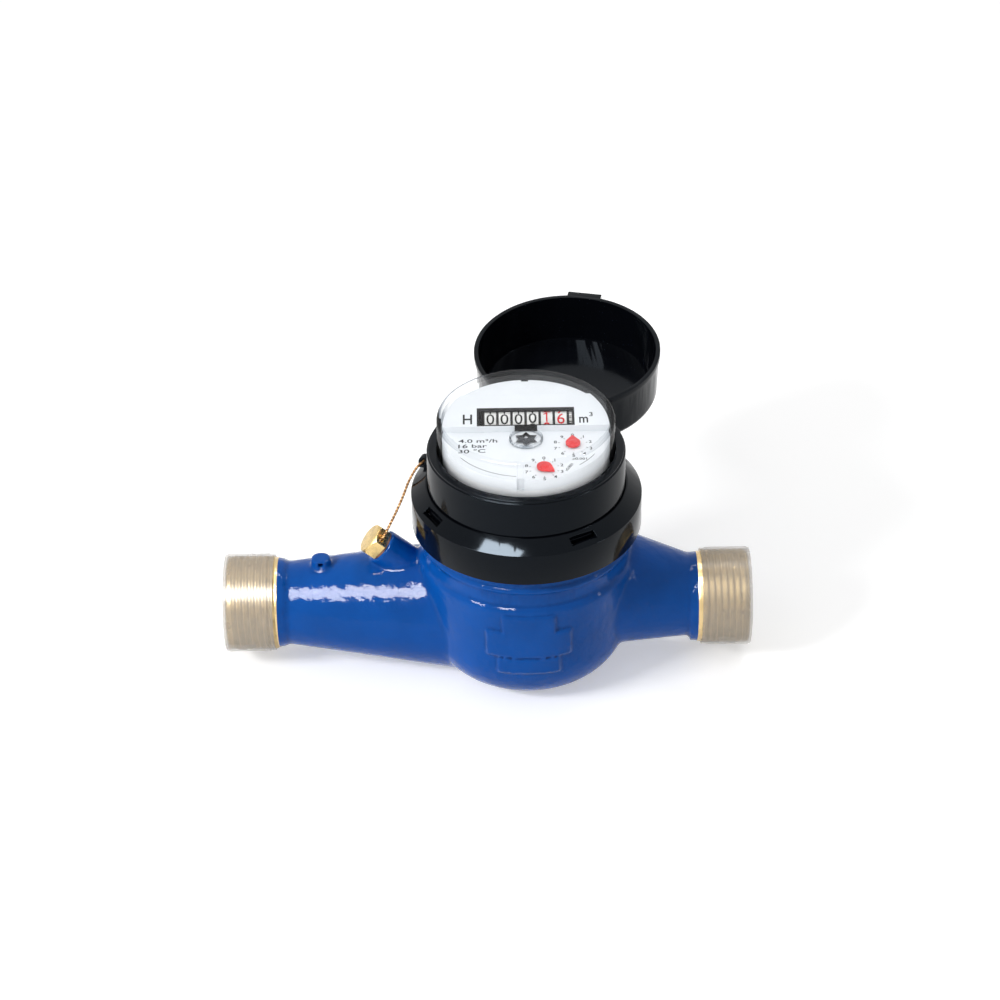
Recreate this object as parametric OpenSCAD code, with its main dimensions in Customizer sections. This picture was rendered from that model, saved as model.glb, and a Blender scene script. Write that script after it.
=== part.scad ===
// Multi-jet water meter with a dry register under a hinged lid.
// Origin: centre of the foot, under the bowl's axis. +X runs with the flow, +Z is up.

/* [Pipe ends] */
// Length from thread end to thread end
length = 190; // [165:1:220]
// Bowl axis to the end of the inlet thread
inlet_reach = 109.5; // [100:0.5:120]
// Height of the pipe axis over the foot
pipe_z = 24.5; // [23.5:0.5:27]
// Bore of the pipe ends
bore_d = 20; // [15:0.5:22]
// Outside diameter of the pipe thread
thread_d = 33.2; // [30:0.1:36]
// Length of each pipe thread
thread_len = 18.5; // [14:0.5:22]
// Diameter of the inlet neck behind its thread
inlet_neck_d = 29.6; // [28:0.2:31]
// Diameter of the inlet cone inside the bowl
inlet_root_d = 50.6; // [46:0.2:52]
// Drop of the inlet cone towards the bowl
inlet_drop = 2; // [0:0.5:3]
// Diameter of the outlet neck behind its thread
outlet_neck_d = 28.8; // [27.6:0.2:31]
// Diameter of the outlet cone inside the bowl
outlet_root_d = 48; // [42:0.5:50]
// Rise of the outlet cone towards the bowl
outlet_rise = 7; // [5:0.5:8]
// Diameter of the cast collar behind each thread
end_collar_d = 32.6; // [32:0.2:36]
// Width of the cast collar behind each thread
end_collar_w = 2.5; // [1.5:0.5:4]

/* [Bowl] */
// Diameter of the bowl at its shoulder
bowl_d = 78; // [76:0.5:80]
// How much slimmer the bowl is above its bottom curve
bowl_taper = 1.5; // [0.5:0.1:3]
// Radius of the curve between foot and wall
bowl_fillet = 21; // [17:0.5:22]
// Height of the bowl's shoulder
shoulder_z = 48.5; // [46:0.5:50]
// Rounding of the shoulder
shoulder_round = 3; // [2:0.5:4]
// Height of the rim that carries the pressure plate
rim_z = 68.5; // [66:0.5:71]
// How far the neck is set back from the bowl
neck_step = 1.5; // [1:0.1:2]
// Thickness of the neck's wall
neck_wall = 4.5; // [3.5:0.1:5]
// Thickness of the floor
floor_t = 4; // [3:0.5:6]
// Height of the inner shelf that carries the measuring chamber
shelf_z = 28; // [26:0.5:29]
// Width of the inner shelf
shelf_w = 3.5; // [3:0.1:4]
// How far the raised pad stands out of the bowl's front
pad_rise = 0.9; // [0.5:0.1:1.5]
// Widths of the raised pad's upper block, side tabs and lower bar
pad_widths = [18.5, 30, 22];
// Lower and upper heights of the same three blocks
pad_heights = [[32.5, 44.5], [26.5, 37], [19, 25]];

/* [Flow regulator] */
// Diameter of the slanted boss
boss_d = 13; // [12:0.5:15]
// Slant of the boss over the pipe axis, in degrees
boss_tilt = 40; // [36:1:46]
// How far the middle of the boss's outer end stands out from the bowl
boss_out = 13.6; // [11:0.1:15]
// How far the middle of the boss's outer end stands over the inlet cone
boss_proud = 5.6; // [4:0.1:6.5]
// Diameter of the regulating screw
screw_d = 6; // [5:0.5:7]
// Length of the regulating screw
screw_len = 15; // [12:0.5:17]
// Width of the plug across its flats
plug_af = 11; // [9.5:0.5:13]
// Height of the plug's hexagon
plug_h = 5; // [4:0.5:7]
// Diameter of the holes for the sealing wire
wire_hole_d = 2; // [1.6:0.1:2.2]
// Diameter of the twisted sealing wire
wire_d = 1; // [0.6:0.1:1.2]

/* [Head] */
// Wall of the head ring
ring_wall = 3.5; // [3:0.1:5]
// How far the head ring reaches down over the neck
ring_drop = 7.7; // [6:0.1:9]
// Height of the head ring's conical top
ring_cone_h = 4; // [3:0.1:5]
// Thickness of the head ring's lip
ring_lip_t = 2; // [1.5:0.1:3]
// Number of spanner slots in the cone
slot_count = 4; // [3:1:6]
// Thickness of the pressure plate's flange
plate_flange_t = 2.5; // [2:0.1:4]
// Thickness of the slip ring
slip_t = 1; // [0.6:0.1:1.5]

/* [Shroud and lid] */
// How far the shroud's flange stands out
shroud_step = 1.9; // [1.6:0.1:2.2]
// Wall of the shroud round the lens
shroud_wall = 3.5; // [3.2:0.1:4]
// Height of the shroud from its flange to its top
shroud_h = 19.5; // [18:0.1:22]
// How far the lid's rim is set back from the shroud
lid_inset = 0.1; // [0:0.1:0.5]
// Depth of the lid
lid_h = 20; // [18.5:0.5:24]
// Wall of the lid
lid_wall = 1.6; // [1.2:0.1:1.8]
// Draft of the lid's wall, on the radius
lid_draft = 1.2; // [0.5:0.1:1.6]
// How far the lid stands open, in degrees
lid_open = 175; // [160:1:178]
// Turn of the hinge away from the back, in degrees
hinge_turn = 12.5; // [0:0.5:20]
// Distance of the hinge axis outside the shroud's wall
hinge_out = 3; // [2.8:0.1:4]
// Distance of the hinge axis under the shroud's top
hinge_drop = 4.5; // [4:0.1:6]
// Diameter of the hinge pin
hinge_pin_d = 2.2; // [1.6:0.1:2.6]
// Width of the lid's knuckle
knuckle_w = 12; // [8:0.5:16]

/* [Register] */
// Wall of the lens
lens_wall = 1.6; // [1.2:0.1:1.8]
// Height of the lens over the shroud's top
lens_proud = 13.4; // [12.6:0.1:14]
// Height of the lower dial face over the shroud's top
dial_proud = 5.4; // [4.6:0.1:5.8]
// Thickness of the dial
dial_t = 1.5; // [1.2:0.1:2]
// Depth of the dial's skirt
skirt_h = 4.4; // [3.5:0.1:5]
// Height of the counter's sloping bridge over the dial at its front
bridge_front = 2.4; // [1.8:0.1:2.6]
// Height of the bridge over the dial at its back
bridge_back = 4.6; // [4:0.1:4.8]
// Front and back edges of the bridge, from the bowl axis
bridge_span = [1, 18.4];
// Height of the rear panel over the lower dial face
rear_panel = 3.6; // [3:0.1:4]
// Size of the counter window, across and deep
window_size = [33.4, 7.8];
// Front edge of the window, from the bowl axis
window_front = 1.8; // [1.6:0.1:2.2]
// Diameter of the number drums
drum_d = 14.4; // [13.6:0.2:14.6]
// Spacing of the number drums
drum_pitch = 5; // [4.8:0.1:5.1]
// Number of drums
drum_count = 6;
// Place of the drum axis behind the bowl axis
drum_y = 9; // [8.8:0.1:9.2]
// Drop of the drum axis under the lower dial face
drum_drop = 4.6; // [4.5:0.1:5]
// Extra width of the last drum for its tally marks
tally_w = 1.6; // [1:0.1:1.8]
// Distance of the fast pointer's axis from the dial's edge
fast_inset = 6.4; // [6.2:0.1:8]
// Direction of the fast pointer's axis from the bowl axis, in degrees
fast_turn = -75; // [-80:1:-70]
// Distance of the slow pointer's axis from the dial's edge
slow_inset = 11.35; // [11:0.05:11.6]
// Direction of the slow pointer's axis from the bowl axis, in degrees
slow_turn = -26; // [-28:1:-25]
// Width of the lens's keys
key_w = 2; // [1.6:0.1:3]

/* [Measuring chamber] */
// Room between the measuring chamber and the lower well's wall
chamber_room = 3.5; // [3:0.1:4.5]
// Wall of the measuring chamber
chamber_wall = 2.2; // [1.8:0.1:3]
// Number of jets in each row
jet_count = 9; // [6:1:11]
// Number of impeller vanes
vane_count = 7; // [5:1:9]
// Thickness of an impeller vane
vane_t = 1.4; // [1:0.1:2]
// Diameter of the impeller's shaft
shaft_d = 4; // [3:0.2:5]
// Diameter of the coupling magnets
magnet_d = 16; // [14:0.5:17]

/* [Fits] */
// Running clearance on the radius of a turning shaft
run_gap = 0.05; // [0.02:0.01:0.1]
// Clearance between pieces that are put together by hand
fit_gap = 0.3; // [0.2:0.05:0.4]
// Clearance of the protective caps on the thread, on the radius
cap_gap = 0.6; // [0.58:0.01:0.8]
// Wall of the protective caps
cap_wall = 0.8; // [0.6:0.1:1.2]
// Bare thread left between a cap and the cast collar
cap_short = 1.3; // [1:0.1:3]

/* [Hidden] */
$fn = 96;
eps = 0.01;
cut_over = 1;
neck_r = bowl_d / 2 - neck_step;
rim_r = neck_r - neck_wall;
well_r = rim_r - shelf_w;
outlet_reach = length - inlet_reach;
inlet_root_x = -well_r / 2;
outlet_root_x = well_r * 0.7;
inlet_thread_x = -(inlet_reach - thread_len);
outlet_thread_x = outlet_reach - thread_len;
bowl_low_r = bowl_d / 2 - bowl_taper;
foot_r = bowl_low_r - bowl_fillet;
passage_step = 0.8;
passage_turn = 2;
// Radius and height of the inlet cone's axis at a place along the pipe
function inlet_share(x) = (x - inlet_thread_x) / (inlet_root_x - inlet_thread_x);
function inlet_r(x) = inlet_neck_d / 2 + inlet_share(x) * (inlet_root_d - inlet_neck_d) / 2;
function inlet_z(x) = pipe_z - inlet_share(x) * inlet_drop;

// Heights of the head, stacked from the rim upwards
plate_top = rim_z + plate_flange_t;
slip_top = plate_top + slip_t;
shroud_flange_t = 2.5;
shroud_flange_r = neck_r - fit_gap;
ring_bore_r = neck_r + fit_gap;
ring_r = ring_bore_r + ring_wall;
lip_z = slip_top + shroud_flange_t + fit_gap;
ring_top = lip_z + ring_lip_t;
shroud_r = shroud_flange_r - shroud_step;
shroud_top = slip_top + shroud_h;
ring_lip_r = shroud_r + fit_gap;
ring_cone_r = ring_lip_r + 0.6;
slot_size = [10, 3.5, 2.6];
slot_turn = 30;

// Register, from the pressure plate upwards
lens_r = shroud_r - shroud_wall - fit_gap;
lens_bore_r = lens_r - lens_wall;
lens_flange_t = 3.5;
lens_flange_r = lens_r + 1.3;
lens_top = shroud_top + lens_proud;
lens_top_t = 2.2;
lens_round = 2;
base_floor_t = 2.5;
lens_z = plate_top + base_floor_t;
lens_step_z = lens_z + lens_flange_t + fit_gap;
dial_z = shroud_top + dial_proud;
dial_r = lens_bore_r - fit_gap;
skirt_z = dial_z - skirt_h;
case_wall = 1.5;
case_r = dial_r - case_wall;
gear_plate_t = 1.2;
frame_foot_t = 0.6;
frame_depth = 8;
gear_plate_z = dial_z - drum_drop - drum_d / 2 - gear_plate_t - frame_foot_t - 0.4;
post_r = 1.5;
post_ring_r = case_r - 3;
post_angles = [35, 150, 215];
drum_z = dial_z - drum_drop;
drum_r = drum_d / 2;
drum_gap = 0.3;
drum_row = drum_count * drum_pitch;
drum_shaft_r = 1;
frame_wall = 1.2;
frame_left = -drum_row / 2 - fit_gap;
frame_right = drum_row / 2 + tally_w + fit_gap;
key_depth = 1;
key_z = skirt_z + fit_gap;
key_turns = [-94.5, 90];

// Gear train, whose module follows the distance of the fast pointer from the axis
fast_at = (dial_r - fast_inset) * [cos(fast_turn), sin(fast_turn)];
slow_at = (dial_r - slow_inset) * [cos(slow_turn), sin(slow_turn)];
train_modules = 64.44;
module_mm = norm(fast_at) / train_modules;
spindle_r = 0.6;
pivot_gap = 0.1;
gear_w = 1.1;
gear_step = 1.6;
deck_z = lens_z + 1;
level_a = deck_z;
level_b = level_a + gear_step;
level_c = level_b + gear_step;
upper_deck_z = gear_plate_z + gear_plate_t + 0.8;
level_d = upper_deck_z;
level_e = upper_deck_z + gear_step;
centre_pinion_n = 12;
star_pinion_n = 12;
first_wheel_n = 36;
first_pinion_n = 18;
second_wheel_n = 30;
second_pinion_n = 12;
fast_wheel_n = 24;
fast_pinion_n = 12;
third_wheel_n = 30;
third_pinion_n = 12;
slow_wheel_n = 48;
first_lean = 10;
function pitch_r(n) = n * module_mm / 2;
function spread(a, b) = pitch_r(a) + pitch_r(b);
function heading(v) = atan2(v[1], v[0]);
// Point at distance ra from a and rb from b, on the given side of the line from a to b
function meet(a, b, ra, rb, side) =
    let (d = norm(b - a), u = (b - a) / d, s = (ra * ra - rb * rb + d * d) / (2 * d),
         h = sqrt(max(0, ra * ra - s * s)))
    a + s * u + side * h * [-u[1], u[0]];
centre_at = [0, 0];
star_at = [0, -spread(centre_pinion_n, star_pinion_n)];
first_dir = heading(fast_at) - first_lean;
first_at = spread(centre_pinion_n, first_wheel_n) * [cos(first_dir), sin(first_dir)];
second_at = meet(first_at, fast_at, spread(first_pinion_n, second_wheel_n),
    spread(second_pinion_n, fast_wheel_n), 1);
third_at = meet(fast_at, slow_at, spread(fast_pinion_n, third_wheel_n),
    spread(third_pinion_n, slow_wheel_n), 1);
pointer_z = dial_z + 0.5;
pointer_t = 0.8;
fast_aim = -40;
slow_aim = 92;
star_r = 4.4;
star_t = 0.6;
// Depth of the pivots in the pressure plate, the register's floor and the dial
pivot_depth = 2;
floor_pivot = 1;
top_pivot = 0.8;
star_well_r = 6.8;

// Wet side
chamber_r = well_r - chamber_room;
chamber_floor_z = floor_t + 5;
chamber_floor_t = 2;
chamber_rise = 18;
chamber_top = shelf_z + chamber_rise;
chamber_flange_t = 2.5;
chamber_flange_r = rim_r - fit_gap;
cover_t = 3;
cover_top = chamber_top + cover_t;
plate_depth = 10;
plate_under = rim_z - plate_depth;
plate_r = rim_r - fit_gap;
membrane_t = 3;
magnet_h = 5;
shaft_r = shaft_d / 2;
magnet_r = magnet_d / 2;
pocket_r = magnet_r + 2;
vane_r = chamber_r - chamber_wall - 1.5;
vane_z = chamber_floor_z + chamber_floor_t + 3;
vane_h = chamber_top - vane_z - 3;
hub_r = shaft_r + 2;
pivot_r = 0.8;
magnet_clear = 1.5;
magnet_z = cover_top + magnet_clear;
follower_z = plate_under + membrane_t + magnet_clear - fit_gap;
jet_w = 3.6;
jet_slant = 50;
inlet_jet = [3, 6];
outlet_jet = [2.5, 7];
strainer_r = well_r - 1;
strainer_wall = 1;
strainer_z = bowl_fillet + fit_gap
    - sqrt(pow(bowl_fillet - floor_t, 2) - pow(strainer_r - foot_r, 2));
strainer_slots = 30;
gasket_r = 0.9;
gasket_ring_r = rim_r + neck_wall / 2;

// Flow regulator and seal
boss_r = boss_d / 2;
boss_end_x = -bowl_d / 2 - boss_out;
boss_end_z = inlet_z(boss_end_x) + inlet_r(boss_end_x) + boss_proud;
boss_depth = screw_len + 3;
screw_r = screw_d / 2;
plug_neck_r = boss_r - 1;
plug_gasket_t = 0.8;
lug_r = 3.6;
lug_x = -75;
// The seal's eyelet stands on the head ring
eyelet_turn = 160;
eyelet_r = 2;
eyelet_w = 2.6;
eyelet_ring_r = (ring_cone_r + ring_r) / 2;
eyelet_rise = 0.6;
eyelet_z = ring_top + eyelet_rise;
// Route of the sealing wire: through the plug's hole, by shares of the way over, through the eyelet
plug_tilt = boss_tilt - 90;
plug_hole_z = plug_h * 0.55;
plug_hole_y = plug_af / 3;
function plug_point(along) = [boss_end_x, -plug_hole_y, boss_end_z]
    + along * [cos(plug_tilt), 0, -sin(plug_tilt)]
    + (plug_gasket_t + plug_hole_z) * [sin(plug_tilt), 0, cos(plug_tilt)];
function eyelet_point(ahead, out, rise) = [0, 0, eyelet_z + rise]
    + (eyelet_ring_r + out) * [cos(eyelet_turn), sin(eyelet_turn), 0]
    + ahead * [-sin(eyelet_turn), cos(eyelet_turn), 0];
wire_leaves = plug_point(2.5);
wire_arrives = eyelet_point(4.65, 0.95, 0);
wire_shares = [
    [0.146, 0.039, 0.105], [0.307, 0.163, 0.268], [0.467, 0.318, 0.447],
    [0.635, 0.535, 0.642], [0.759, 0.713, 0.805], [0.883, 0.86, 0.93]
];
wire_points = concat(
    [plug_point(-2), plug_point(0), wire_leaves],
    [for (share = wire_shares)
        [for (k = [0 : 2]) wire_leaves[k] + share[k] * (wire_arrives[k] - wire_leaves[k])]],
    [wire_arrives, eyelet_point(2.5, 0.25, 0.2), eyelet_point(0, 0, 0), eyelet_point(-2.6, 0, -0.1)]
);

// Hinge, and the frame that swings the lid from shut to open
hinge_r = shroud_r + hinge_out;
hinge_z = shroud_top - hinge_drop;
hinge_dir = [sin(hinge_turn), cos(hinge_turn), 0];
hinge_axis = [-cos(hinge_turn), sin(hinge_turn), 0];
knuckle_r = hinge_pin_d / 2 + 1.4;
ear_w = 2.4;
lid_r = shroud_r - lid_inset;
lid_z = shroud_top + fit_gap;
lid_round = 3;
lid_top_t = 1.8;
tab_w = 13;
tab_out = 2;

// Cylinder along X, from one x to another at the pipe's height
module along_x(x0, x1, r0, r1) {
    translate([x0, 0, pipe_z]) rotate([0, 90, 0]) cylinder(h = x1 - x0, r1 = r0, r2 = r1);
}

// Cylinder or cone between two points of the XZ plane
module slanted(a, b, ra, rb) {
    run = b - a;
    translate([a[0], 0, a[1]])
        rotate([0, atan2(run[0], run[1]), 0])
            cylinder(h = norm(run), r1 = ra, r2 = rb);
}

// Tube standing on z
module tube(z, h, ro, ri) {
    translate([0, 0, z]) difference() {
        cylinder(h = h, r = ro);
        translate([0, 0, -cut_over]) cylinder(h = h + 2 * cut_over, r = ri);
    }
}

// Disc standing on z
module disc(z, h, r) {
    translate([0, 0, z]) cylinder(h = h, r = r);
}

// Spur gear with a tooth, or a gap, pointing along the given heading
module gear(n, z, w, aim, gap) {
    pitch = 360 / n;
    tip = pitch_r(n) + 0.75 * module_mm;
    root = pitch_r(n) - 1.2 * module_mm;
    start = aim + (gap ? pitch / 2 : 0);
    outline = [for (i = [0 : n - 1], k = [[root, -0.26], [tip, -0.11], [tip, 0.11], [root, 0.26]])
        k[0] * [cos(start + (i + k[1]) * pitch), sin(start + (i + k[1]) * pitch)]];
    translate([0, 0, z]) linear_extrude(w) polygon(outline);
}

// Vertical spindle between two heights
module spindle(z0, z1) {
    translate([0, 0, z0]) cylinder(h = z1 - z0, r = spindle_r, $fn = 24);
}

// Moves a piece along the slanted boss, with z measured outwards from its end
module on_boss() {
    translate([boss_end_x, 0, boss_end_z]) rotate([0, plug_tilt, 0]) children();
}

// Places a piece in the hinge's frame: x along the pin, y outwards, z up
module on_hinge() {
    rotate([0, 0, -hinge_turn]) translate([0, hinge_r, hinge_z]) children();
}

// Half outline of the bowl, thickened by rise
module bowl_outline(rise) {
    polygon([[0, 0], [foot_r, 0], [bowl_low_r + rise, bowl_fillet],
        [bowl_d / 2 + rise, shoulder_z - shoulder_round], [0, shoulder_z - shoulder_round]]);
    translate([foot_r, bowl_fillet]) difference() {
        circle(r = bowl_fillet + rise);
        translate([-2 * bowl_d, -bowl_d]) square([2 * bowl_d, 2 * bowl_d]);
        translate([-bowl_d, -bowl_d - bowl_fillet]) square([2 * bowl_d, bowl_d]);
    }
    translate([bowl_d / 2 - shoulder_round, shoulder_z - shoulder_round]) circle(r = shoulder_round + rise);
}

// Half outline of the lower well, which follows the bowl's bottom curve inside
module well_outline() {
    intersection() {
        square([well_r, shelf_z]);
        union() {
            translate([0, floor_t]) square([foot_r, shelf_z]);
            translate([0, bowl_fillet]) square([well_r, shelf_z]);
            translate([foot_r, bowl_fillet]) circle(r = bowl_fillet - floor_t);
        }
    }
}

// Raised stepped pad on the bowl's front
module bowl_pad() {
    intersection() {
        rotate_extrude() bowl_outline(pad_rise);
        rotate([90, 0, 0]) linear_extrude(bowl_d)
            for (i = [0 : len(pad_widths) - 1])
                translate([-pad_widths[i] / 2, pad_heights[i][0]])
                    square([pad_widths[i], pad_heights[i][1] - pad_heights[i][0]]);
    }
}

// Outer form of the casting
module body_form() {
    inlet_in = [inlet_root_x, pipe_z - inlet_drop];
    inlet_out = [inlet_thread_x, pipe_z];
    outlet_in = [outlet_root_x, pipe_z + outlet_rise];
    outlet_out = [outlet_thread_x, pipe_z];
    rotate_extrude() {
        bowl_outline(0);
        translate([0, shoulder_z - shoulder_round])
            square([neck_r, rim_z - shoulder_z + shoulder_round]);
    }
    slanted(inlet_out, inlet_in, inlet_neck_d / 2, inlet_root_d / 2);
    slanted(outlet_out, outlet_in, outlet_neck_d / 2, outlet_root_d / 2);
    along_x(inlet_thread_x, inlet_thread_x + end_collar_w, end_collar_d / 2, end_collar_d / 2);
    along_x(outlet_thread_x - end_collar_w, outlet_thread_x, end_collar_d / 2, end_collar_d / 2);
    along_x(-inlet_reach, inlet_thread_x, thread_d / 2, thread_d / 2);
    along_x(outlet_thread_x, outlet_reach, thread_d / 2, thread_d / 2);
    on_boss() translate([0, 0, -boss_depth - boss_r]) cylinder(h = boss_depth + boss_r, r = boss_r);
    bowl_pad();
    translate([lug_x, 0, pipe_z]) cylinder(h = inlet_neck_d / 2 + lug_r + 1.6, r = lug_r);
}

// Cast body: bowl, sloping inlet and outlet, threads and the regulator's boss
module body() {
    bore_r = bore_d / 2;
    passage_r = bore_r - passage_step;
    turn_r = (bore_r + passage_r) / 2;
    inlet_turn = [inlet_thread_x + passage_turn, pipe_z];
    inlet_mouth = [-well_r + passage_turn, (floor_t + shelf_z) / 2];
    outlet_turn = [outlet_thread_x - passage_turn, pipe_z];
    outlet_mouth = [rim_r - 6, shelf_z + passage_r + 2.5];
    color([0.03, 0.16, 0.62]) difference() {
        body_form();
        disc(-bowl_d, bowl_d, length);
        rotate_extrude() well_outline();
        disc(shelf_z, rim_z, rim_r);
        along_x(-inlet_reach - cut_over, inlet_turn[0], bore_r, bore_r);
        along_x(outlet_turn[0], outlet_reach + cut_over, bore_r, bore_r);
        slanted(inlet_turn, inlet_mouth, passage_r, passage_r);
        slanted(outlet_turn, outlet_mouth, passage_r, passage_r);
        translate([inlet_turn[0], 0, pipe_z]) sphere(r = turn_r);
        translate([outlet_turn[0], 0, pipe_z]) sphere(r = turn_r);
        on_boss() translate([0, 0, -boss_depth]) cylinder(h = boss_depth + cut_over, r = screw_r + fit_gap);
        tube(rim_z - 2 * gasket_r, 3 * gasket_r,
            gasket_ring_r + gasket_r + eps, gasket_ring_r - gasket_r - eps);
        translate([lug_x, 0, pipe_z + inlet_neck_d / 2 + lug_r]) rotate([90, 0, 0])
            cylinder(h = 4 * lug_r, r = wire_hole_d / 2, center = true, $fn = 24);
    }
}

// Protective cap pushed over a thread, drawn with its closed end at z = 0 and its mouth up
module thread_cap() {
    bore = thread_d / 2 + cap_gap;
    depth = thread_len - cap_short;
    color([0.85, 0.84, 0.8, 0.5]) difference() {
        union() {
            cylinder(h = depth + cap_wall, r = bore + cap_wall - 0.3);
            translate([0, 0, cap_wall]) cylinder(h = depth - 2, r = bore + cap_wall);
        }
        translate([0, 0, cap_wall]) cylinder(h = depth + cut_over, r = bore);
    }
}

module inlet_cap() {
    translate([-inlet_reach - cap_wall - fit_gap / 2, 0, pipe_z]) rotate([0, 90, 0]) thread_cap();
}

module outlet_cap() {
    translate([outlet_reach + cap_wall + fit_gap / 2, 0, pipe_z]) rotate([0, -90, 0]) thread_cap();
}

// Slotted basket round the lower half of the measuring chamber
module strainer() {
    high = shelf_z - fit_gap - strainer_z;
    frame = 2.5;
    color("white") difference() {
        tube(strainer_z, high, strainer_r, strainer_r - strainer_wall);
        for (i = [0 : strainer_slots - 1])
            rotate([0, 0, i * 360 / strainer_slots])
                translate([strainer_r - 3 * strainer_wall, -0.9, strainer_z + frame])
                    cube([5 * strainer_wall, 1.8, high - 2 * frame]);
    }
}

// Ring of slanted jets through the chamber's wall
module jets(z, h, slant) {
    for (i = [0 : jet_count - 1])
        rotate([0, 0, i * 360 / jet_count])
            translate([chamber_r - chamber_wall, 0, z]) rotate([0, 0, slant])
                translate([-2 * chamber_wall, -jet_w / 2, 0]) cube([5 * chamber_wall, jet_w, h]);
}

// Cup with a lower ring of inlet jets and an upper ring of outlet ports, hung on the shelf
module measuring_chamber() {
    inner = chamber_r - chamber_wall;
    color("gainsboro") difference() {
        union() {
            disc(chamber_floor_z, chamber_top - chamber_floor_z, chamber_r);
            disc(shelf_z, chamber_flange_t, chamber_flange_r);
        }
        disc(chamber_floor_z + chamber_floor_t, chamber_top, inner);
        disc(0, chamber_top, pivot_r);
        jets(chamber_floor_z + chamber_floor_t + inlet_jet[0], inlet_jet[1], jet_slant);
        jets(shelf_z + chamber_flange_t + outlet_jet[0], outlet_jet[1], -jet_slant);
    }
}

// Steel pin that the impeller turns on
module pivot_pin() {
    color("silver") disc(chamber_floor_z, vane_z - chamber_floor_z + 2, pivot_r - eps);
}

// Impeller: hub, flat radial vanes and the shaft that carries the magnet
module impeller() {
    color("ivory") difference() {
        union() {
            disc(vane_z - 2, vane_h + 3, hub_r);
            disc(vane_z, magnet_z + magnet_h - vane_z, shaft_r);
            for (i = [0 : vane_count - 1])
                rotate([0, 0, i * 360 / vane_count])
                    translate([0, -vane_t / 2, vane_z]) cube([vane_r, vane_t, vane_h]);
        }
        disc(0, vane_z + 2 + pivot_gap, pivot_r + run_gap);
    }
}

// Driving magnet on the impeller's shaft
module impeller_magnet() {
    color("dimgray") tube(magnet_z, magnet_h, magnet_r, shaft_r + eps);
}

// Lid of the measuring chamber, with the impeller's upper bearing and a rim under the pressure plate
module chamber_cover() {
    color("gainsboro") difference() {
        disc(chamber_top, plate_under - chamber_top, chamber_r);
        disc(cover_top, plate_under, chamber_r - chamber_wall);
        disc(0, plate_under, shaft_r + run_gap);
    }
}

// Wall between the wet and the dry side, with a well for the follower magnet
module pressure_plate() {
    color("darkgoldenrod") difference() {
        union() {
            disc(plate_under, rim_z - plate_under, plate_r);
            disc(rim_z, plate_flange_t, neck_r - fit_gap);
        }
        disc(plate_under + membrane_t, rim_z, pocket_r);
        disc(follower_z - pivot_depth, pivot_depth, spindle_r + run_gap);
    }
}

// Sealing ring in the rim's groove
module head_gasket() {
    color("black") translate([0, 0, rim_z - gasket_r])
        rotate_extrude() translate([gasket_ring_r, 0]) circle(r = gasket_r - run_gap, $fn = 32);
}

// Slip ring that lets the head ring be screwed down without turning the register
module slip_ring() {
    color("whitesmoke") tube(plate_top, slip_t, shroud_flange_r, lens_flange_r + fit_gap);
}

// Screwed ring that clamps shroud and pressure plate to the neck
module head_ring() {
    bottom = rim_z - ring_drop;
    cone_z = ring_top - ring_cone_h;
    color([0.03, 0.03, 0.035]) {
        difference() {
            rotate_extrude() polygon([[ring_bore_r, bottom], [ring_r, bottom], [ring_r, cone_z],
                [ring_cone_r, ring_top], [ring_lip_r, ring_top], [ring_lip_r, lip_z], [ring_bore_r, lip_z]]);
            for (i = [0 : slot_count - 1])
                rotate([0, 0, slot_turn + i * 360 / slot_count])
                    translate([ring_cone_r + 0.8, -slot_size[0] / 2, ring_top - slot_size[1]])
                        cube([slot_size[2], slot_size[0], 2 * slot_size[1]]);
        }
        rotate([0, 0, eyelet_turn]) translate([eyelet_ring_r, 0, eyelet_z]) rotate([0, 90, 90])
            difference() {
                union() {
                    cylinder(h = eyelet_w, r = eyelet_r, center = true, $fn = 32);
                    translate([0, -eyelet_r, -eyelet_w / 2]) cube([eyelet_z - lip_z, 2 * eyelet_r, eyelet_w]);
                }
                cylinder(h = 2 * eyelet_w, r = wire_hole_d / 2, center = true, $fn = 24);
            }
    }
}

// Screw that sets the by-pass
module regulator_screw() {
    color("gold") on_boss() difference() {
        translate([0, 0, -boss_depth + pivot_gap]) cylinder(h = screw_len, r = screw_r);
        translate([-screw_r, -0.5, screw_len - boss_depth - 1]) cube([2 * screw_r, 1, 2]);
    }
}

// Flat gasket under the plug
module regulator_gasket() {
    color("saddlebrown") on_boss() tube(0, plug_gasket_t, plug_neck_r, screw_r + fit_gap);
}

// Hexagon plug, drilled for the sealing wire
module regulator_plug() {
    hex_r = plug_af / 2 / cos(30);
    color("gold") on_boss() translate([0, 0, plug_gasket_t]) difference() {
        intersection() {
            cylinder(h = plug_h, r = hex_r, $fn = 6);
            union() {
                cylinder(h = plug_h - 1, r = hex_r);
                translate([0, 0, plug_h - 1]) cylinder(h = 1, r1 = hex_r, r2 = plug_af / 2 - 0.4);
            }
        }
        for (side = [-1, 1])
            translate([0, side * plug_hole_y, plug_hole_z]) rotate([0, 90, 0])
                cylinder(h = 3 * plug_af, r = wire_hole_d / 2, center = true, $fn = 24);
    }
}

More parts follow.
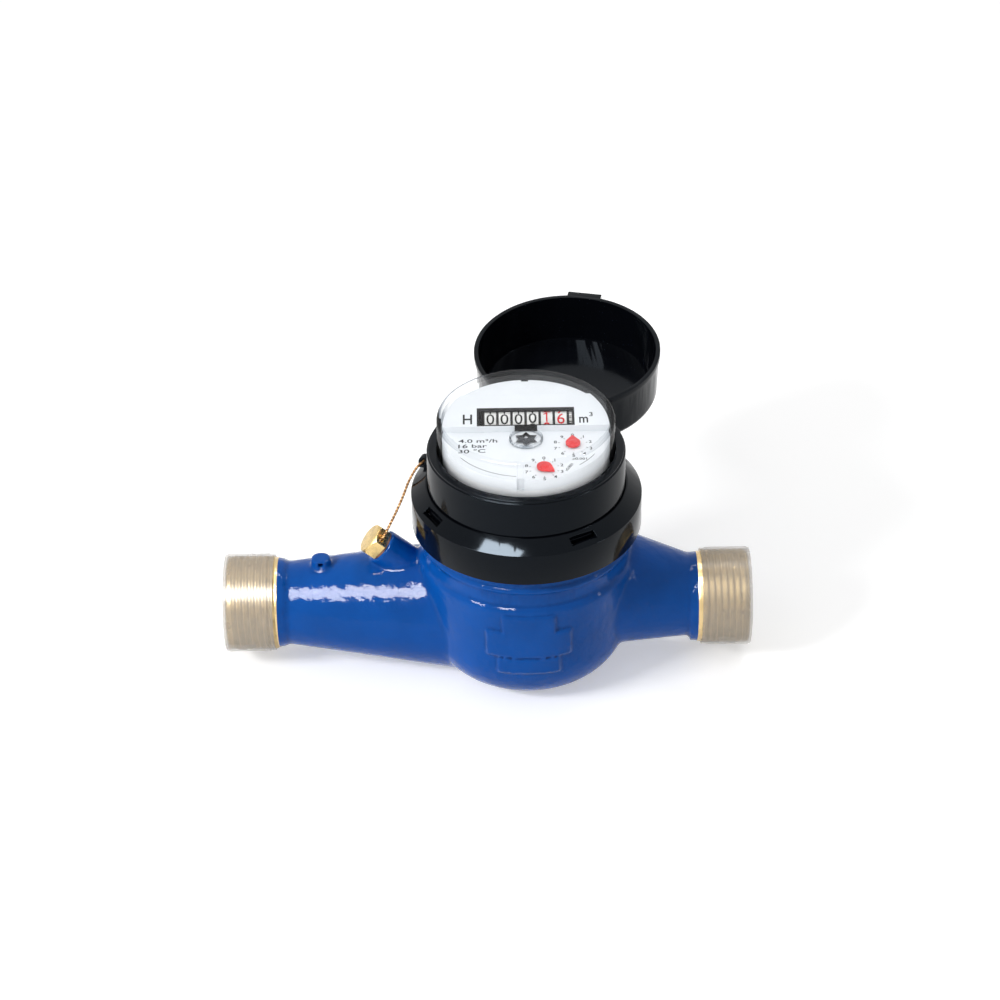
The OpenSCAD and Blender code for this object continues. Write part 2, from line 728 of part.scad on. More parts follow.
// Tube of eight sides swept along a list of points
module swept_tube(points, r) {
    n = len(points);
    sides = 8;
    ahead = [for (i = [0 : n - 1]) let (d = points[min(i + 1, n - 1)] - points[max(i - 1, 0)]) d / norm(d)];
    across = [for (d = ahead) let (c = cross(d, [0, 1, 0])) c / norm(c)];
    rings = [for (i = [0 : n - 1], k = [0 : sides - 1])
        points[i] + r * (cos(k * 360 / sides) * across[i] + sin(k * 360 / sides) * cross(ahead[i], across[i]))];
    walls = [for (i = [0 : n - 2], k = [0 : sides - 1])
        [i * sides + k, i * sides + (k + 1) % sides, (i + 1) * sides + (k + 1) % sides, (i + 1) * sides + k]];
    ends = [[for (k = [0 : sides - 1]) sides - 1 - k], [for (k = [0 : sides - 1]) (n - 1) * sides + k]];
    polyhedron(points = rings, faces = [for (f = concat(walls, ends)) [for (k = [len(f) - 1 : -1 : 0]) f[k]]]);
}

module seal_wire() {
    color("peru") swept_tube(wire_points, wire_d / 2);
}

// Shroud that holds the register down and carries the hinge
module shroud() {
    color([0.03, 0.03, 0.035]) difference() {
        union() {
            disc(slip_top, shroud_flange_t, shroud_flange_r);
            disc(slip_top, shroud_h - 1, shroud_r);
            disc(shroud_top - 1, 1, shroud_r - 0.5);
            on_hinge() for (side = [-1, 1])
                translate([side * (knuckle_w / 2 + fit_gap + ear_w / 2), 0, 0]) rotate([0, 90, 0]) {
                    cylinder(h = ear_w, r = knuckle_r, center = true, $fn = 48);
                    translate([-knuckle_r, -hinge_out - 2, -ear_w / 2])
                        cube([2 * knuckle_r, hinge_out + 2, ear_w]);
                }
        }
        disc(0, lens_step_z, lens_flange_r + fit_gap);
        disc(0, 2 * shroud_top, lens_r + fit_gap);
        on_hinge() rotate([0, 90, 0])
            cylinder(h = 2 * knuckle_w, r = hinge_pin_d / 2 + run_gap, center = true, $fn = 48);
    }
}

// Pin of the lid's hinge
module hinge_pin() {
    color("silver") on_hinge() rotate([0, 90, 0])
        cylinder(h = knuckle_w + 2 * (fit_gap + ear_w), r = hinge_pin_d / 2, center = true, $fn = 48);
}

// Lid as it lies when shut
module shut_lid() {
    top_r = lid_r - lid_draft;
    rim_h = 2;
    rim_lip = 0.4;
    mouth_flare = 0.05;
    tab_t = 2.2;
    arm_t = 4;
    arm_lap = 1;
    arm_start = -hinge_out + 0.6;
    difference() {
        union() {
            disc(lid_z, rim_h, lid_r);
            translate([0, 0, lid_z + rim_h])
                cylinder(h = lid_h - rim_h - lid_round, r1 = lid_r - rim_lip, r2 = top_r);
            translate([0, 0, lid_z + lid_h - lid_round]) rotate_extrude() {
                square([top_r - lid_round, lid_round]);
                translate([top_r - lid_round, 0]) intersection() {
                    circle(r = lid_round);
                    square(lid_round);
                }
            }
            rotate([0, 0, -hinge_turn]) translate([-tab_w / 2, -lid_r - tab_out, lid_z])
                cube([tab_w, tab_out + lid_wall, tab_t]);
            on_hinge() {
                rotate([0, 90, 0]) cylinder(h = knuckle_w, r = knuckle_r, center = true, $fn = 48);
                translate([-knuckle_w / 2, arm_start, 0])
                    cube([knuckle_w, knuckle_r - arm_start, hinge_drop + fit_gap + arm_lap]);
                translate([-knuckle_w / 2, -hinge_out - lid_wall, hinge_drop + fit_gap])
                    cube([knuckle_w, hinge_out + lid_wall + knuckle_r, arm_t]);
            }
        }
        translate([0, 0, lid_z - cut_over])
            cylinder(h = lid_h - lid_top_t + cut_over, r1 = lid_r - lid_wall + mouth_flare,
                r2 = top_r - lid_wall);
        on_hinge() rotate([0, 90, 0])
            cylinder(h = 2 * knuckle_w, r = hinge_pin_d / 2 + run_gap, center = true, $fn = 48);
    }
}

// Lid as it stands, swung open about the hinge
module lid() {
    pivot = hinge_r * hinge_dir + [0, 0, hinge_z];
    color([0.03, 0.03, 0.035])
        translate(pivot) rotate(a = lid_open, v = hinge_axis) translate(-pivot) shut_lid();
}

// Cup of the register, with the posts under the gear plate
module register_base() {
    color("white") difference() {
        union() {
            disc(plate_top, base_floor_t, lens_flange_r);
            tube(lens_z - eps, skirt_z - lens_z + eps, dial_r, case_r);
            for (a = post_angles)
                rotate([0, 0, a]) translate([post_ring_r, 0, lens_z - eps])
                    cylinder(h = gear_plate_z - lens_z + eps, r = post_r, $fn = 32);
        }
        disc(0, skirt_z, spindle_r + run_gap);
        for (at = [first_at, second_at, fast_at])
            translate([at[0], at[1], lens_z - floor_pivot])
                cylinder(h = 2 * floor_pivot, r = spindle_r + run_gap, $fn = 24);
    }
}

// Plate that carries the upper deck of the gear train
module gear_plate() {
    color("goldenrod") difference() {
        disc(gear_plate_z, gear_plate_t, case_r - fit_gap);
        for (at = [centre_at, star_at, first_at, second_at, fast_at, third_at, slow_at])
            translate([at[0], at[1], gear_plate_z - cut_over])
                cylinder(h = gear_plate_t + 2 * cut_over, r = spindle_r + run_gap, $fn = 24);
    }
}

// Spindle that the follower magnet turns, with a pinion on each deck
module centre_spindle() {
    color("silver") {
        spindle(follower_z - pivot_depth + pivot_gap, dial_z - dial_t + top_pivot);
        gear(centre_pinion_n, level_a, gear_w, heading(first_at), false);
        gear(centre_pinion_n, level_d, gear_w, heading(star_at), false);
    }
}

// Spindle of the star
module star_spindle() {
    color("silver") translate([star_at[0], star_at[1], 0]) {
        spindle(gear_plate_z, pointer_z + star_t);
        gear(star_pinion_n, level_d, gear_w, heading(-star_at), true);
    }
}

// Magnet that follows the impeller through the pressure plate
module follower_magnet() {
    color("dimgray") tube(follower_z, magnet_h, magnet_r, spindle_r + eps);
}

// Star that shows the smallest flow
module star_wheel() {
    points = 6;
    color("silver") translate([star_at[0], star_at[1], pointer_z]) linear_extrude(star_t) difference() {
        polygon([for (i = [0 : 2 * points - 1])
            (i % 2 == 0 ? star_r : star_r * 0.62) * [cos(i * 180 / points), sin(i * 180 / points)]]);
        circle(r = spindle_r + eps, $fn = 24);
    }
}

module first_wheel() {
    color("white") translate([first_at[0], first_at[1], 0]) {
        spindle(lens_z - floor_pivot + pivot_gap, gear_plate_z + gear_plate_t);
        gear(first_wheel_n, level_a, gear_w, heading(-first_at), true);
        gear(first_pinion_n, level_b, gear_w, heading(second_at - first_at), false);
    }
}

module second_wheel() {
    color("white") translate([second_at[0], second_at[1], 0]) {
        spindle(lens_z - floor_pivot + pivot_gap, gear_plate_z + gear_plate_t);
        gear(second_wheel_n, level_b, gear_w, heading(first_at - second_at), true);
        gear(second_pinion_n, level_c, gear_w, heading(fast_at - second_at), false);
    }
}

// Spindle of the fast pointer
module fast_spindle() {
    color("white") translate([fast_at[0], fast_at[1], 0]) {
        spindle(lens_z - floor_pivot + pivot_gap, pointer_z + pointer_t);
        gear(fast_wheel_n, level_c, gear_w, heading(second_at - fast_at), true);
        gear(fast_pinion_n, level_d, gear_w, heading(third_at - fast_at), false);
    }
}

module third_wheel() {
    color("white") translate([third_at[0], third_at[1], 0]) {
        spindle(gear_plate_z, dial_z - dial_t + top_pivot);
        gear(third_wheel_n, level_d, gear_w, heading(fast_at - third_at), true);
        gear(third_pinion_n, level_e, gear_w, heading(slow_at - third_at), false);
    }
}

// Spindle of the slow pointer
module slow_spindle() {
    color("white") translate([slow_at[0], slow_at[1], 0]) {
        spindle(gear_plate_z, pointer_z + pointer_t);
        gear(slow_wheel_n, level_e, gear_w, heading(third_at - slow_at), true);
    }
}

// Drop-shaped pointer on a spindle, aimed by turn
module pointer(at, turn) {
    body_r = 2.6;
    tip = 4.6;
    side = acos(body_r / tip);
    color("red") translate([at[0], at[1], pointer_z]) rotate([0, 0, turn])
        linear_extrude(pointer_t) difference() {
            union() {
                circle(r = body_r, $fn = 48);
                polygon([[tip, 0], body_r * [cos(side), sin(side)], body_r * [cos(side), -sin(side)]]);
            }
            circle(r = spindle_r + eps, $fn = 24);
        }
}

module fast_pointer() {
    pointer(fast_at, fast_aim);
}

module slow_pointer() {
    pointer(slow_at, slow_aim);
}

// Half-plane prism of the dial between two depths, under a sloping top
module dial_block(y0, y1, z0, top0, top1) {
    wide = 2 * dial_r;
    translate([-wide / 2, 0, 0]) rotate([90, 0, 90]) linear_extrude(wide)
        polygon([[y0, z0], [y1, z0], [y1, top1], [y0, top0]]);
}

// Dial: lower face, sloping bridge with the counter's window, rear panel and skirt
module dial_plate() {
    under = dial_z - dial_t;
    groove = 0.6;
    back_y = bridge_span[1] + groove;
    color("white") difference() {
        union() {
            tube(skirt_z, skirt_h, dial_r, case_r);
            disc(under, dial_t, dial_r);
            intersection() {
                disc(skirt_z, lens_top, dial_r);
                union() {
                    dial_block(bridge_span[0], bridge_span[1], under, dial_z + bridge_front,
                        dial_z + bridge_back);
                    dial_block(back_y, dial_r, under, dial_z + rear_panel, dial_z + rear_panel);
                }
            }
        }
        translate([-window_size[0] / 2, window_front, under - cut_over])
            cube([window_size[0], window_size[1], skirt_h + lens_proud]);
        translate([frame_left, drum_y, drum_z]) rotate([0, 90, 0])
            cylinder(h = frame_right - frame_left, r = drum_r + fit_gap);
        translate([star_at[0], star_at[1], dial_z]) cylinder(h = bridge_back, r = star_well_r);
        lens_keys(fit_gap);
        for (at = [star_at, fast_at, slow_at])
            translate([at[0], at[1], under - cut_over])
                cylinder(h = dial_t + 2 * cut_over, r = spindle_r + run_gap, $fn = 24);
        for (at = [centre_at, third_at])
            translate([at[0], at[1], under - cut_over])
                cylinder(h = cut_over + top_pivot + pivot_gap, r = spindle_r + run_gap, $fn = 24);
    }
}

// Side plates and foot that carry the drum shaft
module counter_frame() {
    foot_z = gear_plate_z + gear_plate_t;
    top = dial_z - dial_t;
    front = drum_y - frame_depth / 2;
    color("white") difference() {
        union() {
            for (x = [frame_left - frame_wall, frame_right])
                translate([x, front, foot_z]) cube([frame_wall, frame_depth, top - foot_z]);
            translate([frame_left - frame_wall, front, foot_z])
                cube([frame_right - frame_left + 2 * frame_wall, frame_depth, frame_foot_t]);
        }
        translate([2 * frame_left, drum_y, drum_z]) rotate([0, 90, 0])
            cylinder(h = 2 * (frame_right - frame_left), r = drum_shaft_r + eps, $fn = 32);
    }
}

module drum_shaft() {
    color("silver") translate([frame_left - frame_wall, drum_y, drum_z]) rotate([0, 90, 0])
        cylinder(h = frame_right - frame_left + 2 * frame_wall, r = drum_shaft_r, $fn = 32);
}

// Number drum, counted from the left; the last one is wider for its tally marks
module drum(i) {
    extra = i == drum_count ? tally_w : 0;
    width = drum_pitch - drum_gap + extra;
    web = 1.2;
    rim = 1.2;
    x = (i - (drum_count + 1) / 2) * drum_pitch + extra / 2;
    color(i > 4 ? "red" : "black") translate([x, drum_y, drum_z]) rotate([0, 90, 0]) difference() {
        cylinder(h = width, r = drum_r, center = true);
        for (side = [-1, 1])
            translate([0, 0, side * (width + web) / 4]) difference() {
                cylinder(h = (width - web) / 2 + eps, r = drum_r - rim, center = true);
                cylinder(h = width, r = drum_shaft_r + rim, center = true, $fn = 48);
            }
        cylinder(h = 2 * width, r = drum_shaft_r + run_gap, center = true, $fn = 32);
    }
}

module drum_1() {
    drum(1);
}

module drum_2() {
    drum(2);
}

module drum_3() {
    drum(3);
}

module drum_4() {
    drum(4);
}

module drum_5() {
    drum(5);
}

module drum_6() {
    drum(6);
}

// Keys inside the lens that stop the dial from turning, grown by a gap where they are cut out
module lens_keys(gap) {
    for (turn = key_turns)
        rotate([0, 0, turn]) translate([lens_bore_r - key_depth - gap, -key_w / 2 - gap, key_z - gap])
            cube([key_depth + gap + lens_wall / 2, key_w + 2 * gap, lens_top - lens_top_t / 2 - key_z]);
}

// Half outline of the lens, turned about its axis
module lens_form() {
    rotate_extrude() difference() {
        union() {
            translate([0, lens_z]) square([lens_flange_r, lens_flange_t]);
            translate([0, lens_z]) square([lens_r, lens_top - lens_z - lens_round]);
            translate([0, lens_z]) square([lens_r - lens_round, lens_top - lens_z]);
            translate([lens_r - lens_round, lens_top - lens_round]) circle(r = lens_round, $fn = 48);
        }
        translate([-eps, lens_z - cut_over])
            square([lens_bore_r + eps, lens_top - lens_z - lens_top_t + cut_over]);
        translate([-2 * lens_r, 0]) square([2 * lens_r, 2 * lens_top]);
    }
}

// Clear cup over the dial, clamped by its flange
module lens() {
    color([0.9, 0.95, 1, 0.3]) {
        lens_form();
        lens_keys(0);
    }
}

body();
inlet_cap();
outlet_cap();
strainer();
measuring_chamber();
pivot_pin();
impeller();
impeller_magnet();
chamber_cover();
pressure_plate();
head_gasket();
slip_ring();
head_ring();
regulator_screw();
regulator_gasket();
regulator_plug();
seal_wire();
shroud();
hinge_pin();
lid();
register_base();
gear_plate();
centre_spindle();
follower_magnet();
star_spindle();
star_wheel();
first_wheel();
second_wheel();
fast_spindle();
fast_pointer();
third_wheel();
slow_spindle();
slow_pointer();
dial_plate();
counter_frame();
drum_shaft();
drum_1();
drum_2();
drum_3();
drum_4();
drum_5();
drum_6();
lens();
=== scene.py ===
"""Finish, print and light of a multi-jet water meter whose lid stands open.

Everything is in metres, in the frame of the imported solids: the origin lies under the bowl's axis,
+X runs with the flow and +Z is up.
"""

import logging
import math
from collections.abc import Callable, Iterable, Sequence
from dataclasses import dataclass
from enum import Enum

import bmesh
import bpy
from mathutils import Matrix, Quaternion, Vector
from mathutils.kdtree import KDTree


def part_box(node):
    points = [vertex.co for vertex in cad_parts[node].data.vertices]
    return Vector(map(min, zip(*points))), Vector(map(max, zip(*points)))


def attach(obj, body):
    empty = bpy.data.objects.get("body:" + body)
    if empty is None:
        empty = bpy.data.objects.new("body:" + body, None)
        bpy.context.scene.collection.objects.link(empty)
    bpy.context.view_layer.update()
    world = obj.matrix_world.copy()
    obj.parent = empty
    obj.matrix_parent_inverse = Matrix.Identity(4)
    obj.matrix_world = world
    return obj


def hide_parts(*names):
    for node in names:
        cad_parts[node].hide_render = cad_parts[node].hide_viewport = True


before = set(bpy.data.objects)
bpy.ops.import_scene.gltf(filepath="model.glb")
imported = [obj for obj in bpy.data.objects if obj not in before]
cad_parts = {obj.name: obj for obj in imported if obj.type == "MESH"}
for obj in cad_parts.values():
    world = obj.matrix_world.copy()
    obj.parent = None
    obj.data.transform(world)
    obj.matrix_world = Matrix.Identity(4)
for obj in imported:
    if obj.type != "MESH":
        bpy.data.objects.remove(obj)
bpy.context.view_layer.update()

LOG = logging.getLogger("water_meter")
MM = 0.001
NOISE_SPAN = (0.3, 0.7)  # Where most values of a noise lie.
MATT_SHINE = 0.1
Colour = tuple[float, float, float, float]
Pair = tuple[float, float]
Stop = tuple[float, Colour]
Piece = bpy.types.Object
Socket = bpy.types.NodeSocket


class Body(str, Enum):
    """Bodies of the meter that pieces ride on."""

    METER = "meter"
    LID = "lid"


class Slot(str, Enum):
    """Material slots of the record, passed with the pieces."""

    PAINT = "blue_paint"
    BLACK = "black_plastic"
    BRASS = "brass"
    STEEL = "steel"
    WHITE = "white_plastic"
    DRUM = "black_drum"
    RED = "red_plastic"
    LENS = "clear_lens"
    COPPER = "copper"


class Nodes:
    """A node tree that grows call by call."""

    def __init__(self, tree: bpy.types.NodeTree) -> None:
        """Takes the tree to add to."""
        self.tree = tree

    def node(self, kind: str, inputs: dict | None = None, **settings: object) -> bpy.types.Node:
        """Adds a node.

        Args:
            kind: The node's type, without its common prefix.
            inputs: Values, or sockets to link, for its inputs.
            settings: Values of its own properties.

        Returns:
            The new node.
        """
        made = self.tree.nodes.new("ShaderNode" + kind)
        for name, value in settings.items():
            setattr(made, name, value)
        for name, value in (inputs or {}).items():
            if isinstance(value, Socket):
                self.tree.links.new(value, made.inputs[name])
            else:
                made.inputs[name].default_value = value
        return made

    def math(self, operation: str, a: object, b: object = 0.0) -> Socket:
        """Returns the result of a Math node."""
        return self.node("Math", {0: a, 1: b}, operation=operation).outputs["Value"]

    def between(self, value: Socket, low: float, high: float) -> Socket:
        """Returns 1 where a value lies between two limits, and 0 elsewhere."""
        above, below = self.math("GREATER_THAN", value, low), self.math("LESS_THAN", value, high)
        return self.math("MULTIPLY", above, below)

    def scaled(self, value: Socket, low: float, high: float, span: Sequence[float] = NOISE_SPAN) -> Socket:
        """Returns a value with a span of it mapped to the range from low to high."""
        limits = {"Value": value, "From Min": span[0], "From Max": span[1], "To Min": low, "To Max": high}
        return self.node("MapRange", limits).outputs["Result"]


class Shader(Nodes):
    """Node tree of one material that ends in its Principled shader."""

    def __init__(self, name: str) -> None:
        """Starts an empty material.

        Args:
            name: The material's name.
        """
        self.material = bpy.data.materials.new(name)
        self.material.use_nodes = True
        super().__init__(self.material.node_tree)
        self.surface = self.tree.nodes["Principled BSDF"]

    def fix(self, **values: float | Colour) -> None:
        """Sets constants on the shader's own sockets, named with underscores for spaces."""
        for name, value in values.items():
            self.surface.inputs[name.replace("_", " ")].default_value = value

    def drive(self, socket: str, source: Socket) -> None:
        """Links a source to one of the shader's sockets."""
        self.tree.links.new(source, self.surface.inputs[socket])

    def coordinates(self) -> Socket:
        """Returns the piece's Object coordinates."""
        return self.node("TexCoord").outputs["Object"]

    def axis(self, letter: str) -> Socket:
        """Returns one axis of the Object coordinates."""
        return self.node("SeparateXYZ", {"Vector": self.coordinates()}).outputs[letter]

    def noise(self, grain: float, detail: float = 3.0, stretch: Sequence[float] = (1, 1, 1)) -> Socket:
        """Adds a noise of a real grain size.

        Args:
            grain: Size of the pattern's features in metres.
            detail: Finer octaves in the pattern.
            stretch: Scale of the pattern along each axis.

        Returns:
            The noise's value.
        """
        placed = self.node("Mapping", {"Vector": self.coordinates(), "Scale": tuple(stretch)})
        pattern = self.node("TexNoise", {"Vector": placed.outputs["Vector"], "Scale": 1 / grain,
                                         "Detail": detail})
        return pattern.outputs["Fac"]

    def ramp(self, value: Socket, stops: Iterable[Stop]) -> Socket:
        """Colours a value.

        Args:
            value: The value to colour.
            stops: Places and colours of the ramp.

        Returns:
            The colour.
        """
        made = self.node("ValToRGB", {"Fac": value})
        bar = made.color_ramp
        points = list(stops)
        for element, (place, colour) in zip(bar.elements, (points[0], points[-1])):
            element.position = place
            element.color = colour
        for place, colour in points[1:-1]:
            bar.elements.new(place).color = colour
        return made.outputs["Color"]

    def mixed(self, factor: object, low: object, high: object) -> Socket:
        """Returns a mix of two colours."""
        made = self.node("MixRGB", {"Fac": factor, "Color1": low, "Color2": high})
        return made.outputs["Color"]

    def bump(self, height: Socket, depth: float) -> None:
        """Roughens the surface by a pattern, to a depth in metres."""
        relief = self.node("Bump", {"Height": height, "Distance": depth})
        self.drive("Normal", relief.outputs["Normal"])


def shaded(colour: Colour, share: float) -> Colour:
    """Returns a colour made darker, or lighter, by a share."""
    return (*(min(1.0, part * share) for part in colour[:3]), 1.0)


@dataclass(frozen=True)
class Finish:
    """A finish: its name, main colour and gloss."""

    name: str
    colour: Colour
    roughness: float

    def material(self) -> bpy.types.Material:
        """Returns the finish's material, made on first use."""
        made = bpy.data.materials.get(self.name)
        if made is None:
            shader = Shader(self.name)
            shader.fix(Base_Color=self.colour, Roughness=self.roughness)
            self.paint(shader)
            made = shader.material
        return made

    def paint(self, shader: Shader) -> None:
        """Adds the finish's own pattern to its shader."""

    def shade(self, share: float) -> Colour:
        """Returns the main colour made darker, or lighter, by a share."""
        return shaded(self.colour, share)

    def mottled(self, shader: Shader, pattern: Socket, low: float, high: float = 1.0) -> Socket:
        """Returns the main colour, clouded by a pattern between two shares of itself."""
        start, end = NOISE_SPAN
        return shader.ramp(pattern, [(start, self.shade(low)), (end, self.shade(high))])

    def vary_gloss(self, shader: Shader, pattern: Socket, low: float, high: float) -> None:
        """Drives the roughness by a pattern, between two shares of the finish's own."""
        shader.drive("Roughness", shader.scaled(pattern, self.roughness * low, self.roughness * high))


@dataclass(frozen=True)
class GlossEnamel(Finish):
    """Thick gloss paint over a casting whose threaded ends are bare turned metal."""

    bare: Colour
    bare_before: float
    bare_after: float
    bare_dullness: float = 0.2
    # Span of pointiness over which the painted crease shade fades out, and the blue's share where that shade
    # is darkest.
    crease: Pair = (0.45, 0.498)
    pooled: float = 0.42
    shine: float = 0.11
    peel_depth: float = 0.26 * MM

    def paint(self, shader: Shader) -> None:
        """Adds painted shade in the creases, orange peel and the bare ends."""
        along = shader.axis("X")
        ends = shader.math("SUBTRACT", 1.0, shader.between(along, self.bare_before, self.bare_after))
        cloud = shader.noise(grain=18 * MM, detail=2.0)
        blue = shader.ramp(cloud, [(0.3, self.shade(0.88)), (0.55, self.colour), (0.75, self.shade(1.08))])
        turned = shader.noise(grain=0.6 * MM, detail=2.0, stretch=(1.0, 0.05, 0.05))
        brass = shader.ramp(turned, [(0.3, shaded(self.bare, 0.88)), (0.7, self.bare)])
        # Painted shade: the blue darkens in concave creases, found by the mesh's pointiness, where shade
        # falls.
        unshaded_share = shader.scaled(shader.node("NewGeometry").outputs["Pointiness"], 0.0, 1.0, self.crease)
        coat = shader.mixed(unshaded_share, self.shade(self.pooled), blue)
        shader.drive("Base Color", shader.mixed(ends, coat, brass))
        shader.drive("Metallic", ends)
        smears = shader.noise(grain=6 * MM, detail=4.0)
        gloss = shader.scaled(smears, self.roughness * 0.7, self.roughness * 1.5)
        dull = shader.math("MULTIPLY", ends, self.bare_dullness)
        shader.drive("Roughness", shader.math("ADD", gloss, dull))
        shader.fix(Specular_IOR_Level=self.shine)
        waves = shader.math("MULTIPLY", shader.noise(grain=11 * MM, detail=1.0), 1.6)
        shader.bump(shader.math("ADD", shader.noise(grain=3.5 * MM, detail=2.0), waves), self.peel_depth)


@dataclass(frozen=True)
class MouldedPlastic(Finish):
    """Opaque moulded plastic with a faint grain and handling smears."""

    grain: float = 0.4 * MM
    depth: float = 0.01 * MM
    shine: float = 0.5
    tint: Colour = (1.0, 1.0, 1.0, 1.0)

    def paint(self, shader: Shader) -> None:
        """Adds tone, smears and grain."""
        shader.fix(Specular_IOR_Level=self.shine, Specular_Tint=self.tint)
        shader.drive("Base Color", self.mottled(shader, shader.noise(grain=12 * MM), low=0.9, high=1.08))
        self.vary_gloss(shader, shader.noise(grain=4 * MM, detail=5.0), low=0.75, high=1.35)
        shader.bump(shader.noise(self.grain, detail=2.0), self.depth)


@dataclass(frozen=True)
class Metal(Finish):
    """Turned, drawn or sintered metal."""

    grain: float = 0.4 * MM
    stretch: tuple[float, float, float] = (1.0, 1.0, 1.0)
    depth: float = 0.01 * MM

    def paint(self, shader: Shader) -> None:
        """Adds tool marks and tarnish."""
        shader.fix(Metallic=1.0)
        marks = shader.noise(self.grain, stretch=self.stretch)
        tarnish = shader.noise(grain=3 * MM, detail=4.0)
        worn = shader.ramp(tarnish, [(0.3, self.shade(0.7)), (0.55, self.colour), (0.8, self.shade(1.15))])
        shader.drive("Base Color", worn)
        self.vary_gloss(shader, marks, low=0.7, high=1.4)
        shader.bump(marks, self.depth)


@dataclass(frozen=True)
class MilkyPlastic(Finish):
    """Translucent soft plastic."""

    cover: float

    def paint(self, shader: Shader) -> None:
        """Lets what lies under it show through, and adds clouding and a soft relief."""
        shader.fix(Alpha=self.cover)
        cloud = shader.noise(grain=12 * MM, detail=2.0)
        shader.drive("Base Color", self.mottled(shader, cloud, low=0.97, high=1.02))
        self.vary_gloss(shader, cloud, low=0.8, high=1.25)
        shader.bump(shader.noise(grain=9 * MM, detail=2.0), depth=0.05 * MM)


@dataclass(frozen=True)
class ClearPlastic(Finish):
    """Clear moulded plastic."""

    # The edge colour is painted shade on rims and edge-on walls.
    edge: Colour
    bend: float = 1.01
    wall_span: Pair = (0.58, 0.86)
    rim_rise: Pair = (0.12, 0.97)

    def paint(self, shader: Shader) -> None:
        """Adds transmission, painted shade that darkens rims and edge-on walls, and a few faint smears."""
        shader.fix(Transmission_Weight=1.0, IOR=self.bend, Coat_Weight=0.3, Coat_Roughness=0.02)
        # Painted shade: the colour goes towards the edge colour where walls are seen edge-on and on the
        # rims, standing in for refraction at the plastic's edges.
        facing = shader.node("LayerWeight", {"Blend": 0.5}).outputs["Facing"]
        start, end = self.wall_span
        wall_painted_shade = shader.ramp(facing, [(0.0, self.colour), (start, self.colour), (end, self.edge)])
        normal = shader.node("NewGeometry").outputs["True Normal"]
        rise = shader.math("ABSOLUTE", shader.node("SeparateXYZ", {"Vector": normal}).outputs["Z"])
        rims = shader.between(rise, *self.rim_rise)
        shown = shader.math("MULTIPLY", rims, shader.scaled(facing, 0.1, 1.0, (0.2, 0.6)))
        shader.drive("Base Color", shader.mixed(shown, wall_painted_shade, self.edge))
        smears = shader.noise(grain=10 * MM)
        shader.drive("Roughness", shader.scaled(smears, 0.0, self.roughness, (0.6, 0.9)))


@dataclass(frozen=True)
class DrumFace(Finish):
    """White number drum with dark edges towards its neighbours."""

    edge: Colour
    pitch: float
    edge_width: float

    def paint(self, shader: Shader) -> None:
        """Darkens both edges of each drum by its place along the row."""
        shader.fix(Specular_IOR_Level=MATT_SHINE)
        step = shader.math("MULTIPLY", shader.axis("X"), 1 / self.pitch)
        place = shader.math("ABSOLUTE", shader.math("SUBTRACT", shader.math("FRACT", step), 0.5))
        dark = shader.math("GREATER_THAN", place, 0.5 - self.edge_width / self.pitch)
        tone = self.mottled(shader, shader.noise(grain=3 * MM), low=0.88)
        shader.drive("Base Color", shader.mixed(dark, tone, self.edge))
        shader.bump(shader.noise(grain=0.3 * MM, detail=2.0), depth=0.008 * MM)


@dataclass(frozen=True)
class DialFace(Finish):
    """White dial whose counter window has a dark border and dark walls."""

    border: Colour
    half_width: float
    front: float
    back: float

    def paint(self, shader: Shader) -> None:
        """Darkens the rectangle of the window and its walls."""
        shader.fix(Specular_IOR_Level=MATT_SHINE)
        across = shader.between(shader.axis("X"), -self.half_width, self.half_width)
        deep = shader.between(shader.axis("Y"), self.front, self.back)
        tone = self.mottled(shader, shader.noise(grain=9 * MM), low=0.96)
        shader.drive("Base Color", shader.mixed(shader.math("MULTIPLY", across, deep), tone, self.border))
        self.vary_gloss(shader, shader.noise(grain=2 * MM, detail=4.0), low=0.8, high=1.2)
        shader.bump(shader.noise(grain=0.5 * MM, detail=2.0), depth=0.006 * MM)


BODY_LOW, BODY_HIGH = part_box("body")
DIAL_FACE_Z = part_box("dial_plate")[1].z - 4.6 * MM
THREAD_LENGTH = 18.5 * MM
INLET_LEAD = 0.8 * MM
OUTLET_LEAD = 1.0 * MM
PIPE_Z = 24.5 * MM
DRUM_PITCH = 5.0 * MM
DIGIT_STEP = 36.0  # Degrees from one digit to the next, on a drum or a small scale.
INK_THICKNESS = 0.03 * MM
STROKE_GAIN = 0.012
CAPITAL = 0.69  # Height of a capital in a text of size 1.
SINK = 0.01 * MM  # How far a print lies in what carries it.

ENAMEL = GlossEnamel("blue_enamel", (0.002, 0.080, 0.37, 1.0), 0.08, bare=(0.72, 0.54, 0.27, 1.0),
                     bare_before=BODY_LOW.x + THREAD_LENGTH, bare_after=BODY_HIGH.x - THREAD_LENGTH)
CAP_FILM = MilkyPlastic("milky_cap", (0.53, 0.49, 0.43, 1.0), 0.25, cover=0.38)
# The black's bluish specular tint is a painted reflection: it tints every reflection blue.
BLACK_GLOSS = MouldedPlastic("gloss_black", (0.002, 0.0025, 0.004, 1.0), 0.09, depth=0.002 * MM, shine=0.13,
                             tint=(0.72, 0.86, 1.0, 1.0))
WHITE_MOULD = MouldedPlastic("white_moulding", (0.82, 0.83, 0.84, 1.0), 0.4)
RED_MOULD = MouldedPlastic("red_moulding", (0.72, 0.03, 0.035, 1.0), 0.35)
BRASS = Metal("turned_brass", (0.70, 0.51, 0.22, 1.0), 0.28, stretch=(1.0, 1.0, 0.1))
THREAD_BRASS = Metal("cut_brass", (0.46, 0.34, 0.16, 1.0), 0.46, grain=1.0 * MM, stretch=(0.2, 1.0, 1.0),
                     depth=0.002 * MM)
STEEL = Metal("bright_steel", (0.58, 0.59, 0.61, 1.0), 0.22)
